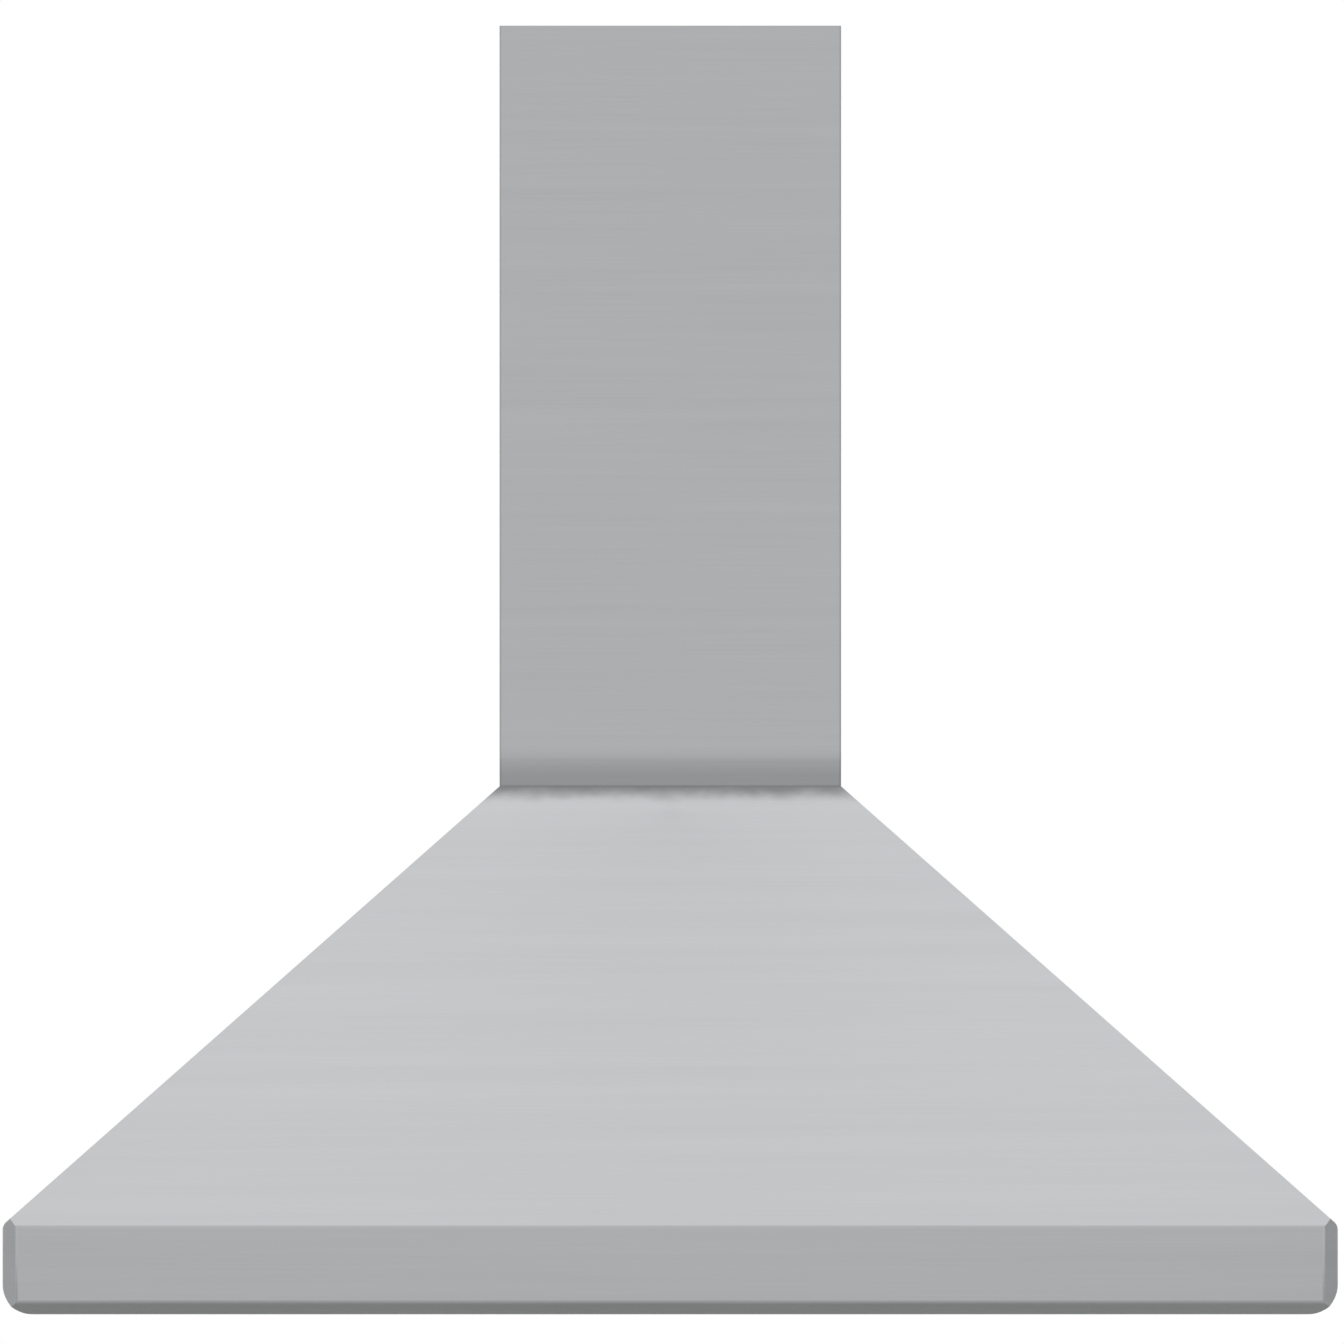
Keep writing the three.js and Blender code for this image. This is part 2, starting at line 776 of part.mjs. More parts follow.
const pullPivot = bankPoint(filterFrontLength - pullSetback, -pullPivotDrop);
for (let index = 0; index < filterCount; index += 1) {
  const label = filterNames[index] ?? `extra_${index}`;
  const filter = place(filterBank, `filter_${label}`, filterBody(), 'brushedSteel');
  filter.position.x = filterXs[index];
  const pull = place(liner, `filter_pull_${label}`, pullBody(), 'polishedSteel');
  pull.position.set(filterXs[index], pullPivot.y, pullPivot.z);
}

// A divider fills the gap between two filters, and its cap seals their edges from above.
const dividerReach = (filterPivotY - riserY - linerSheet - fitGap) / Math.cos(filterTilt);

function filterDivider(x) {
  const half = dividerWidth / 2 - filterClearance;
  const shoulder = filterThickness - dividerShoulderDrop;
  const web = shapeOf([
    [-dividerReach, 0],
    [hookClear - fitGap, 0],
    [hookClear - fitGap, shoulder],
    [-hookClear, shoulder],
    [-hookClear, filterTopClear + filterSheet / 2],
    [-capEnd, filterTopClear + filterSheet / 2],
    [-capEnd, shoulder],
    [-dividerReach, shoulder],
  ]);
  const geometry = prismXGeometry(web, x - half, x + half).applyMatrix4(filterBank.matrixWorld);
  const cap = bankBox(x - dividerCap / 2, x + dividerCap / 2, hookClear, capEnd, filterTopClear, capTop);
  return join(solid(geometry), cap);
}

evenly(filterCount - 1, slotWidth + dividerWidth).forEach((x, index) => {
  place(liner, `filter_divider_${index + 1}`, filterDivider(x), 'brushedSteel');
});

// ---------------------------------------------------------------- rear rail and grease tray

const trayBack = innerWallY - trayWallGap;
const trayFront = trayBack - trayDepth;
const trayHalf = linerHalfWidth - traySideGap;
const railHalf = linerHalfWidth - fitGap;
const railTop = bankPoint(-hookClear - linerSheet, capTop);
const clipXs = evenly(2, trayHalf);

// The rear rail is a channel that the filters' tails hook into; its shelf reaches back to the wall.
function rearRail() {
  const end = -hookClear - linerSheet;
  const lip = bankBox(-railHalf, railHalf, end, 0, -fitGap - linerSheet, -fitGap);
  const upright = bankBox(-railHalf, railHalf, end, -hookClear, -fitGap - linerSheet, capTop);
  const shelfEnd = innerWallY - fitGap;
  const low = railTop.z - linerSheet;
  const shelf = box(-railHalf, railHalf, railTop.y - linerSheet, shelfEnd, low, railTop.z);
  const flange = box(-railHalf, railHalf, shelfEnd - linerSheet, shelfEnd, low, railTop.z + linerUpstand);
  const clipBack = trayBack - traySheet - fitGap;
  const clips = clipXs.map((x) =>
    box(
      x - trayClipWidth / 2,
      x + trayClipWidth / 2,
      clipBack - linerSheet,
      clipBack,
      trayTop - trayClipHeight,
      railTop.z,
    ),
  );
  return join(lip, upright, shelf, flange, ...clips);
}

function greaseTray() {
  const outer = box(-trayHalf, trayHalf, trayFront, trayBack, trayTop - trayHeight, trayTop);
  const wall = traySheet;
  const inner = box(
    -trayHalf + wall,
    trayHalf - wall,
    trayFront + wall,
    trayBack - wall,
    trayTop - trayHeight + wall,
    trayTop + past,
  );
  return cut(outer, inner);
}

place(liner, 'rear_rail', rearRail(), 'brushedSteel');
place(liner, 'grease_tray', greaseTray(), 'brushedSteel');

// ---------------------------------------------------------------- lamps and controls

const controls = section('lamps_and_controls');

// A lamp's trim ring is flanged under the panel and closed above by the driver's can.
function lampTrim(x) {
  const wall = bodySheet;
  const window = lampRadius - lampTrimWidth;
  const points = [
    [window, -lampTrimThickness],
    [lampRadius + lampTrimWidth, -lampTrimThickness],
    [lampRadius + lampTrimWidth, 0],
    [lampRadius, 0],
    [lampRadius, lampBodyHeight],
    [0, lampBodyHeight],
    [0, lampBodyHeight - wall],
    [lampRadius - wall, lampBodyHeight - wall],
    [lampRadius - wall, 0],
    [window, 0],
  ];
  return turnedZ(points, x, lampY, linerRecess, 20);
}

function lampLens(x) {
  const radius = lampRadius - bodySheet - fitGap;
  return post(radius, x, lampY, linerRecess, linerRecess + lampLensThickness, 20);
}

lampXs.forEach((x, index) => {
  place(controls, `lamp_trim_${index + 1}`, lampTrim(x), 'polishedSteel');
  place(controls, `lamp_lens_${index + 1}`, lampLens(x), 'frostedGlass');
});

const bezelBottom = linerRecess - bezelThickness;
const buttonTop = linerRecess + buttonCollar;
const switchBottom = buttonTop + buttonTravel + fitGap;
const boardBottom = switchBottom + switchHeight;

// The bezel lies under the panel, and two legs pass up through the panel's opening.
function controlBezel() {
  const half = bezelLength / 2;
  const deep = bezelDepth / 2;
  const plate = box(-half, half, lampY - deep, lampY + deep, bezelBottom, linerRecess);
  const legX = half - bezelBorder - fitGap;
  const legY = deep - bezelBorder;
  const legTop = linerPanelTop + bezelThickness;
  const legs = [-1, 1].map((side) =>
    box(...spanOf(side, legX - bezelThickness, legX), lampY - legY, lampY + legY, bezelBottom, legTop),
  );
  const holes = buttonXs.map((x) =>
    post(buttonRadius + buttonClearance, x, lampY, bezelBottom - past, linerRecess + past),
  );
  return cut(join(plate, ...legs), ...holes);
}

// A button's collar rests on the bezel, which keeps it from falling through.
function pushButton(x) {
  const collar = buttonRadius + buttonClearance + buttonCollar;
  const points = [
    [0, bezelBottom - buttonProud],
    [buttonRadius - buttonChamfer, bezelBottom - buttonProud],
    [buttonRadius, bezelBottom - buttonProud + buttonChamfer],
    [buttonRadius, linerRecess],
    [collar, linerRecess],
    [collar, buttonTop],
    [0, buttonTop],
  ];
  return turnedZ(points, x, lampY, 0, 16);
}

// The board stands over the buttons on four posts, with a switch above each button.
function controlBoard() {
  const half = bezelLength / 2;
  const deep = bezelDepth / 2;
  const boardTop = boardBottom + boardThickness;
  const board = box(-half, half, lampY - deep, lampY + deep, boardBottom, boardTop);
  const switches = buttonXs.map((x) =>
    box(
      x - buttonRadius / 2,
      x + buttonRadius / 2,
      lampY - buttonRadius / 2,
      lampY + buttonRadius / 2,
      switchBottom,
      boardBottom + boardThickness / 2,
    ),
  );
  const postX = half - bezelBorder / 2;
  const postY = deep - bezelBorder / 4;
  const top = boardBottom + boardThickness / 2;
  const posts = [-postX, postX].flatMap((x) =>
    [-postY, postY].map((y) => post(bezelBorder / 4, x, lampY + y, linerPanelTop, top, 12)),
  );
  return join(board, ...switches, ...posts);
}

place(controls, 'control_bezel', controlBezel(), 'blackPlastic');
buttonXs.forEach((x, index) => {
  place(controls, `button_${index + 1}`, pushButton(x), 'polishedSteel');
});
place(controls, 'control_board', controlBoard(), 'circuitBoard');

// ---------------------------------------------------------------- blower

const blower = section('blower');
const scrollFrontY = ductY - scrollWidth / 2;
const scrollBackY = ductY + scrollWidth / 2;
const tongueX = wheelCentreX + scrollStartRadius * Math.cos(scrollStartAngle);
const throatX = wheelCentreX + scrollEndRadius;
const scrollSteps = 28;

// The scroll's wall moves steadily away from the wheel as it goes round.
function scrollPoint(turn, outwardBy) {
  const angle = scrollStartAngle + turn * (2 * Math.PI - scrollStartAngle);
  const radius = scrollStartRadius + turn * (scrollEndRadius - scrollStartRadius) + outwardBy;
  return [wheelCentreX + radius * Math.cos(angle), scrollCentreHeight + radius * Math.sin(angle)];
}

function scrollLine(outwardBy) {
  const x = tongueX - outwardBy;
  const start = scrollStartRadius + outwardBy;
  const rise = Math.sqrt(start ** 2 - (x - wheelCentreX) ** 2);
  const points = [[x, topPlateUnderside], [x, scrollCentreHeight + rise]];
  for (let step = 1; step <= scrollSteps; step += 1) {
    points.push(scrollPoint(step / scrollSteps, outwardBy));
  }
  points.push([throatX + outwardBy, topPlateUnderside]);
  return points;
}

function scrollWrap() {
  const outline = [...scrollLine(scrollSheet), ...scrollLine(0).reverse()];
  return prismY(shapeOf(outline), scrollFrontY, scrollBackY);
}

function scrollSide(y0, y1) {
  const plate = prismY(shapeOf(scrollLine(scrollSheet)), y0, y1);
  const mouth = inletThroat + inletBell + 2 * fitGap;
  return cut(plate, rodY(mouth, wheelCentreX, scrollCentreHeight, y0 - past, y1 + past, 40));
}

// An inlet ring narrows in a quarter bell towards the wheel; facing is 1 at the front and -1 at the back.
function inletRingBody(y, facing) {
  const steps = 3;
  const depth = inletBell / 2;
  const flangeOuter = inletThroat + inletBell + inletFlange;
  const back = [];
  const front = [];
  for (let step = 0; step <= steps; step += 1) {
    const angle = (step / steps) * (Math.PI / 2);
    const radius = inletThroat + inletBell * (1 - Math.sin(angle));
    const along = depth * (1 - Math.cos(angle));
    front.push([radius, facing * (along - scrollSheet)]);
    back.push([radius + scrollSheet * Math.sin(angle), facing * along]);
  }
  const points = [
    [flangeOuter, facing * -scrollSheet],
    ...front,
    ...back.reverse(),
    [flangeOuter, 0],
  ];
  return turnedY(points, wheelCentreX, y, scrollCentreHeight, 28);
}

place(blower, 'scroll_wrap', scrollWrap(), 'galvanised');
place(blower, 'scroll_side_front', scrollSide(scrollFrontY - scrollSheet, scrollFrontY), 'galvanised');
place(blower, 'scroll_side_back', scrollSide(scrollBackY, scrollBackY + scrollSheet), 'galvanised');
place(blower, 'inlet_ring_front', inletRingBody(scrollFrontY - scrollSheet, 1), 'galvanised');
place(blower, 'inlet_ring_back', inletRingBody(scrollBackY + scrollSheet, -1), 'galvanised');

// The wheel: two end rings, a centre disc with its hub, and leaning blades from ring to ring.
function impeller() {
  const half = wheelWidth / 2;
  const ringSpan = [wheelInnerRadius + 2 * wheelRing, wheelRadius];
  const ring = (y0, y1) => {
    const [inner, outer] = ringSpan;
    return turnedY([[inner, y0], [outer, y0], [outer, y1], [inner, y1]], 0, 0, 0, bladeCount);
  };
  const middle = (wheelRadius + wheelInnerRadius) / 2;
  const blades = Array.from({ length: bladeCount }, (_, index) => {
    const geometry = new THREE.BoxGeometry(bladeWidth, wheelWidth - wheelRing, bladeThickness);
    geometry.rotateY(bladeLean);
    geometry.translate(middle, 0, 0);
    geometry.rotateY((index / bladeCount) * 2 * Math.PI);
    return solid(geometry);
  });
  const disc = rodY(middle, 0, 0, wheelDiscOffset, wheelDiscOffset + wheelRing, bladeCount);
  const hub = rodY(hubRadius, 0, 0, wheelDiscOffset - hubLength / 2, wheelDiscOffset + hubLength / 2);
  const bore = rodY(shaftRadius + fitGap, 0, 0, -half, half);
  return cut(join(ring(-half, wheelRing - half), ring(half - wheelRing, half), disc, hub, ...blades), bore);
}

const wheel = place(blower, 'impeller', impeller(), 'galvanised');
wheel.position.set(wheelCentreX, ductY, scrollCentreHeight);

const motorBack = ductY + wheelDiscOffset - hubLength;
const motorFront = motorBack - motorLength;
const shaftSocket = motorLength / 3;

function motorShaft() {
  const end = ductY + wheelDiscOffset + hubLength / 2 + shaftRadius;
  return rodY(shaftRadius, wheelCentreX, scrollCentreHeight, motorBack - shaftSocket, end, 24);
}

// The motor's can has a bearing boss at the back, where the shaft comes out.
function motorBody() {
  const bore = shaftRadius + fitGap;
  const points = [
    [0, -motorLength],
    [motorRadius - motorChamfer, -motorLength],
    [motorRadius, motorChamfer - motorLength],
    [motorRadius, -motorBossHeight - motorChamfer],
    [motorRadius - motorChamfer, -motorBossHeight],
    [motorBossRadius + motorBossHeight, -motorBossHeight],
    [motorBossRadius, 0],
    [bore, 0],
    [bore, -shaftSocket - fitGap],
    [0, -shaftSocket - fitGap],
  ];
  return turnedY(points, wheelCentreX, motorBack, scrollCentreHeight, 24);
}

// Three arms reach from a ring round the motor to feet on the scroll's front plate.
function motorBracket() {
  const back = scrollFrontY - 2 * scrollSheet - fitGap;
  const front = back - motorArmThickness;
  const inner = motorRadius + fitGap;
  const ring = turnedY(
    [
      [inner, front],
      [inner + motorArmThickness, front],
      [inner + motorArmThickness, back],
      [inner, back],
    ],
    0,
    0,
    0,
    24,
  );
  const reach = inletThroat + inletBell + inletFlange;
  const footEnd = reach + motorArmWidth;
  const half = motorArmWidth / 2;
  const arms = Array.from({ length: motorArmCount }, (_, index) => {
    const arm = boxGeometry(inner + motorArmThickness / 2, footEnd, front, back, -half, half);
    const foot = boxGeometry(reach + fitGap, footEnd, front, scrollFrontY - scrollSheet, -half, half);
    const turn = Math.PI / 6 + (index / motorArmCount) * 2 * Math.PI;
    return join(solid(arm.rotateY(turn)), solid(foot.rotateY(turn)));
  });
  return join(ring, ...arms);
}

place(blower, 'motor_shaft', motorShaft(), 'polishedSteel');
place(blower, 'motor_body', motorBody(), 'darkPaint');
const bracket = place(blower, 'motor_bracket', motorBracket(), 'galvanised');
bracket.position.set(wheelCentreX, 0, scrollCentreHeight);

// ---------------------------------------------------------------- duct collar and flaps

const outlet = section('outlet');
const boreRadius = ductRadius - ductSheet;
const ledgeTop = canopyHeight + ductLedgeHeight;
const flapUnderside = ledgeTop + fitGap;
const knuckleInner = flapPinRadius + fitGap;
const knuckleOuter = knuckleInner + flapKnuckleWall;
const flapAxisZ = flapUnderside + knuckleOuter;
const flapRadius = boreRadius - 2 * fitGap;

// The collar is flanged onto the top plate; a rolled ledge inside it stops the flaps.
function ductCollar() {
  const points = [
    [boreRadius, 0],
    [ductRadius + ductFlange, 0],
    [ductRadius + ductFlange, ductSheet],
    [ductRadius, ductSheet],
    [ductRadius, ductHeight],
    [boreRadius, ductHeight],
    [boreRadius, ductLedgeHeight],
    [boreRadius - ductLedge, ductLedgeHeight],
    [boreRadius - ductLedge, ductLedgeHeight - ductSheet],
    [boreRadius, ductLedgeHeight - ductSheet - ductLedge / 2],
  ];
  const collar = turnedZ(points, 0, ductY, canopyHeight, 36);
  const reach = 2 * ductRadius;
  const pinHole = rodY(flapPinRadius + fitGap, 0, flapAxisZ, ductY - reach, ductY + reach, 12);
  return cut(collar, pinHole);
}

// Knuckles of the two flaps take turns along the pin.
const knuckleSpan = (2 * flapRadius) / (flapKnuckleCount + 1);
const knuckleYs = evenly(flapKnuckleCount, knuckleSpan);

function halfDisc(side) {
  const start = side < 0 ? Math.PI / 2 : -Math.PI / 2;
  const edge = knuckleOuter + 2 * fitGap;
  const rim = new THREE.EllipseCurve(0, 0, flapRadius, flapRadius, start, start + Math.PI);
  const plate = prismZ(new THREE.Shape(rim.getPoints(16)), 0, flapSheet);
  const [near, far] = spanOf(side, -past, edge);
  return cut(plate, box(near, far, -flapRadius - past, flapRadius + past, -past, flapSheet + past));
}

function flapBody(side) {
  const axis = knuckleOuter;
  const mine = knuckleYs.filter((_, index) => index % 2 === (side < 0 ? 0 : 1));
  const half = knuckleSpan / 2 - 2 * fitGap;
  let body = halfDisc(side);
  for (const y of mine) {
    const barrel = rodY(knuckleOuter, 0, axis, y - half, y + half, 10);
    const web = box(...spanOf(side, 0, knuckleOuter + 4 * fitGap), y - half, y + half, 0, flapSheet);
    const bore = rodY(knuckleInner, 0, axis, y - half - past, y + half + past, 10);
    body = join(body, cut(join(barrel, web), bore));
  }
  return body;
}

function flapPin() {
  return rodY(flapPinRadius, 0, flapAxisZ, ductY - ductRadius, ductY + ductRadius, 12);
}

place(outlet, 'duct_collar', ductCollar(), 'galvanised');
for (const [name, side] of [['flap_left', -1], ['flap_right', 1]]) {
  const flap = place(outlet, name, flapBody(side), 'aluminium');
  flap.position.set(0, ductY, flapUnderside);
}
place(outlet, 'flap_pin', flapPin(), 'polishedSteel');

// ---------------------------------------------------------------- wiring

const wiring = section('wiring');
const junctionX = throatX + junctionFromScroll;
const junctionTop = slopeClearHeight(junctionX + junctionWidth + harnessBend) - harnessBend;
const junctionBottom = junctionTop - junctionHeight;
const junctionFront = innerWallY - junctionDepth;

// The height of the side slope's inner face over a place that far out, which the junction box keeps under.
function slopeClearHeight(x) {
  return rimHeight + ((halfWidth - x) * slopeHeight) / sideRun - bodySheet * sideSlant;
}

const leadX = throatX + scrollSheet + fitGap + harnessRadius;
const leadHeight = junctionBottom + junctionHeight / 2;

// An open tray of folded sheet on the back panel, with a hole for the motor's lead in its inner side.
function junctionBox() {
  const wall = junctionSheet;
  const right = junctionX + junctionWidth;
  const outer = box(junctionX, right, junctionFront, innerWallY, junctionBottom, junctionTop);
  const inner = box(
    junctionX + wall,
    right - wall,
    junctionFront - past,
    innerWallY - wall,
    junctionBottom + wall,
    junctionTop - wall,
  );
  const entryY = junctionFront + junctionDepth / 2;
  const entryEnd = junctionX + wall + past;
  const entry = rodX(harnessRadius + fitGap, entryY, leadHeight, junctionX - past, entryEnd, 12);
  return cut(outer, inner, entry);
}

// The cover is a shallow lid whose folded edge closes over the box.
function junctionCover() {
  const wall = junctionSheet;
  const gap = fitGap;
  const left = junctionX - wall - gap;
  const right = junctionX + junctionWidth + wall + gap;
  const bottom = junctionBottom - wall - gap;
  const top = junctionTop + wall + gap;
  const end = junctionFront + junctionLidDepth;
  const outer = box(left, right, junctionFront - wall, end, bottom, top);
  const inner = box(left + wall, right - wall, junctionFront, end + past, bottom + wall, top - wall);
  return cut(outer, inner);
}

// The motor's lead runs over the scroll's front plate, round its corner and along its side to the box.
function motorLead() {
  const startZ = scrollCentreHeight + motorRadius / 2;
  const plateY = scrollFrontY - scrollSheet - motorArmThickness - harnessBend;
  const entryY = junctionFront + junctionDepth / 2;
  const places = [
    [wheelCentreX, motorFront - fitGap, startZ],
    [wheelCentreX, plateY - 2 * harnessRadius, startZ],
    [leadX, plateY - 2 * harnessRadius, leadHeight],
    [leadX, entryY, leadHeight],
    [junctionX + 2 * junctionSheet, entryY, leadHeight],
  ];
  return wire(places, harnessRadius, harnessBend, 40, 8);
}

// The run capacitor lies along the scroll's side, on a foot that is bolted to it.
function capacitor() {
  const wallX = throatX + scrollSheet;
  const x = wallX + motorArmThickness + capacitorRadius;
  const z = topPlateUnderside - 3 * capacitorRadius;
  const y0 = ductY - capacitorLength / 2;
  const can = rodY(capacitorRadius, x, z, y0, y0 + capacitorLength, 24);
  const third = capacitorLength / 3;
  const low = z - capacitorRadius / 2;
  const foot = box(wallX, x, y0 + third, y0 + 2 * third, low, low + capacitorRadius);
  return join(can, foot);
}

// The supply enters through a gland in the top plate, inside the chimney.
function cableGland() {
  const points = [
    [glandRadius / 2, -glandRadius],
    [glandRadius, -glandRadius],
    [glandRadius, bodySheet],
    [glandNutRadius, bodySheet],
    [glandNutRadius, bodySheet + glandRadius],
    [glandRadius, glandHeight],
    [glandRadius / 2, glandHeight],
  ];
  return turnedZ(points, glandX, glandY, canopyHeight - bodySheet, 16);
}

// A clip on the scroll's side keeps the motor's lead against it.
function leadClip() {
  const y = ductY;
  const wallX = throatX + scrollSheet;
  const far = leadX + harnessRadius + fitGap;
  const half = harnessRadius;
  const high = leadHeight + harnessRadius + fitGap;
  const low = leadHeight - harnessRadius - fitGap;
  const body = box(wallX, far + bodySheet, y - half, y + half, low - bodySheet, high + 3 * bodySheet);
  const hollow = box(wallX - past, far, y - half - past, y + half + past, low, high);
  const above = high + bodySheet;
  const start = y - half - past;
  const end = y + half + past;
  const notch = box(wallX + bodySheet, far + bodySheet + past, start, end, above, above + 3 * bodySheet);
  return cut(body, hollow, notch);
}

place(wiring, 'junction_box', junctionBox(), 'galvanised');
place(wiring, 'junction_cover', junctionCover(), 'galvanised');
place(wiring, 'cable_gland', cableGland(), 'blackPlastic');
place(wiring, 'capacitor', capacitor(), 'aluminium');
place(wiring, 'motor_lead', motorLead(), 'blackRubber');
place(wiring, 'lead_clip', leadClip(), 'galvanised');

export default hood;
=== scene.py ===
"""A wall-mounted chimney range hood in brushed stainless steel.

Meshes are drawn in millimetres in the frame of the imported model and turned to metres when
they become pieces: +X is the hood's right, -Y its front, +Z up, and the origin lies under
its middle, level with the underside of the rim."""

import math

import bmesh
import bpy
from mathutils import Matrix, Vector


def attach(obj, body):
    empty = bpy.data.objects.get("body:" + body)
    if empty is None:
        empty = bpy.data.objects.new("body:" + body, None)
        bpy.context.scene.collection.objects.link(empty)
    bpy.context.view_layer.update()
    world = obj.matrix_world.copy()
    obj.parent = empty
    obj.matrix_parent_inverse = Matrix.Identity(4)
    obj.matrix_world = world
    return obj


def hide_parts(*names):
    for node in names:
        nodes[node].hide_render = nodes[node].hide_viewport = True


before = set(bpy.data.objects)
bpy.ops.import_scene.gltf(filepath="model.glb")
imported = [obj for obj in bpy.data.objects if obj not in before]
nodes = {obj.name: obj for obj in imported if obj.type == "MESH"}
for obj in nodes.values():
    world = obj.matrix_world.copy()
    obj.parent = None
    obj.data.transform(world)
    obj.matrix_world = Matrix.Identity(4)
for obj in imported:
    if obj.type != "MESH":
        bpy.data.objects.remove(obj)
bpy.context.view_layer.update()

# ------------ canopy
# The canopy is one skin of 1.2 mm stainless sheet: three slopes and a square rim, folded,
# welded along the hips and corners, then ground flush and brushed level with the floor.
# The rim is bevelled at its ends and foot and has a flange turned in underneath.

hood_half_width = 608
front_y = -305
panel_y = 303.8
rim_height = 81
canopy_height = 475
chimney_half_width = 164
chimney_front_y = 15
canopy_sheet = 1.2
rim_bevel = 12
end_bevel = 13.5
bevel_ease = 2.5
rim_corner = 29
rim_flange = 34
front_fold = 2
side_fold = 5
round_segments = 10


def linear(colour):
    """The sRGB hex colour as the linear values that the shaders take."""
    channels = [int(colour[i : i + 2], 16) / 255 for i in (0, 2, 4)]
    return [c / 12.92 if c <= 0.04045 else ((c + 0.055) / 1.055) ** 2.4 for c in channels] + [1]


def add(material, kind, sockets=(), **settings):
    """A new node with its settings. An input takes a value or another node's output, and a
    node given to it stands for its first output."""
    node = material.node_tree.nodes.new("ShaderNode" + kind)
    for name, value in settings.items():
        setattr(node, name, value)
    for socket, value in dict(sockets).items():
        if isinstance(value, bpy.types.Node):
            value = value.outputs[0]
        if isinstance(value, bpy.types.NodeSocket):
            material.node_tree.links.new(value, node.inputs[socket])
        else:
            node.inputs[socket].default_value = value
    return node


def new_material(name):
    """An empty node material."""
    material = bpy.data.materials.new(name)
    material.use_nodes = True
    material.node_tree.nodes.clear()
    return material


def painted_seam_shade(material, place, colour, begins, seam, share, streaks, wander):
    """Paints shade into a colour: darkens it from one height to a seam, where only a share of
    it is left. A noise scaled by streaks makes its edge wander by so many millimetres."""
    streaked = add(material, "Mapping", {"Vector": place, "Scale": streaks})
    streak = add(material, "TexNoise", {"Vector": streaked, "Scale": 1, "Detail": 2})
    height = add(material, "SeparateXYZ", {0: place}).outputs["Z"]
    sockets = {0: streak, 1: wander / 1000, 2: height}
    ragged = add(material, "Math", sockets, operation="MULTIPLY_ADD")
    low, high = ((z + wander / 2) / 1000 for z in (begins, seam))
    sockets = {"Value": ragged, "From Min": low, "From Max": high, "To Min": 1, "To Max": share}
    shade = add(material, "MapRange", sockets, interpolation_type="SMOOTHSTEP")
    return add(material, "VectorMath", {0: colour, "Scale": shade}, operation="SCALE")


def brushed_stainless(name, pale, dull, grain_scale, pass_scale, painted_shade=None):
    """Stainless steel brushed with a belt: straight scratches that are long one way and under
    a millimetre wide the other, so that light smears across them in a soft sheen."""
    material = new_material("brushed_stainless_" + name)
    place = add(material, "TexCoord").outputs["Object"]
    drawn = add(material, "Mapping", {"Vector": place, "Scale": grain_scale})
    sockets = {"Vector": drawn, "Scale": 1, "Detail": 3, "Roughness": 0.6}
    grain = add(material, "TexNoise", sockets)
    banded = add(material, "Mapping", {"Vector": place, "Scale": pass_scale})
    belt_pass = add(material, "TexNoise", {"Vector": banded, "Scale": 1, "Detail": 2})
    both = add(material, "Math", {0: grain, 1: 1.8, 2: belt_pass}, operation="MULTIPLY_ADD")
    tone = add(material, "MapRange", {"Value": both, "From Min": 1.05, "From Max": 1.75})
    sockets = {"Factor": tone, "A": linear(dull), "B": linear(pale)}
    colour = add(material, "Mix", sockets, data_type="RGBA").outputs["Result"]
    # Where asked for, painted shade darkens the colour towards a seam.
    if painted_shade:
        colour = painted_seam_shade(material, place, colour, **painted_shade)
    spread = {"From Min": 0.3, "From Max": 0.7, "To Min": 0.31, "To Max": 0.37}
    gloss = add(material, "MapRange", {"Value": grain, **spread})
    scratches = add(material, "Bump", {"Height": grain, "Strength": 0.05, "Distance": 0.0003})
    sockets = {"Base Color": colour, "Metallic": 1, "Roughness": gloss, "Normal": scratches}
    sockets |= {"Anisotropic": 0.5, "Anisotropic Rotation": 0.25}
    add(material, "OutputMaterial", {"Surface": add(material, "BsdfPrincipled", sockets)})
    return material


# Grain lines about 1.2 mm apart, coarser than a real 180 grit belt leaves, so that they show,
# and 170 mm long; soft bands 12 mm high where the belt's passes overlap. Below the seam under
# the chimney the canopy's colour is darkened in a ragged fringe: painted shade.
level_brushing = ("B1B2B4", "ACADAF", (6, 6, 850), (1.5, 1.5, 80))
canopy_painted_shade = {"begins": 458.5, "seam": 476, "share": 0.42, "streaks": (45, 45, 60), "wander": 8}
canopy_steel = brushed_stainless("canopy", *level_brushing, canopy_painted_shade)


def moved(bm, push, made=None):
    """The drawn mesh, moved along, or with only what an operator made moved along."""
    verts = [v for v in made["geom"] if isinstance(v, bmesh.types.BMVert)] if made else bm.verts
    bmesh.ops.translate(bm, vec=push, verts=verts)
    return bm


def bevelled(bm, parts, width, segments, affect="EDGES"):
    """The drawn mesh with some of its edges or corners rounded."""
    bmesh.ops.bevel(
        bm,
        geom=parts,
        offset=width,
        segments=segments,
        profile=0.5,
        affect=affect,
        clamp_overlap=True,
        material=-1,
    )
    return bm


def prism(axis, start, end, outline, rounds=()):
    """A flat outline square to an axis, pushed along it into a solid. Rounds maps a corner's
    number to the reach along both edges that it is rounded by."""
    across = "XYZ".index(axis)
    bm = bmesh.new()
    corners = [bm.verts.new((*pair[:across], start, *pair[across:])) for pair in outline]
    bm.faces.new(corners)
    for number, reach in dict(rounds).items():
        bevelled(bm, [corners[number]], reach, round_segments, "VERTICES")
    far = bmesh.ops.extrude_face_region(bm, geom=bm.faces[:])
    push = Vector()
    push[across] = end - start
    moved(bm, push, far)
    bmesh.ops.recalc_face_normals(bm, faces=bm.faces)
    return bm


def block(x0, x1, y0, y1, z0, z1):
    """A plain box, used to cut with or to shape further."""
    bm = bmesh.new()
    bmesh.ops.create_cube(bm, size=1)
    bmesh.ops.scale(bm, vec=(x1 - x0, y1 - y0, z1 - z0), verts=bm.verts)
    return moved(bm, ((x0 + x1) / 2, (y0 + y1) / 2, (z0 + z1) / 2))


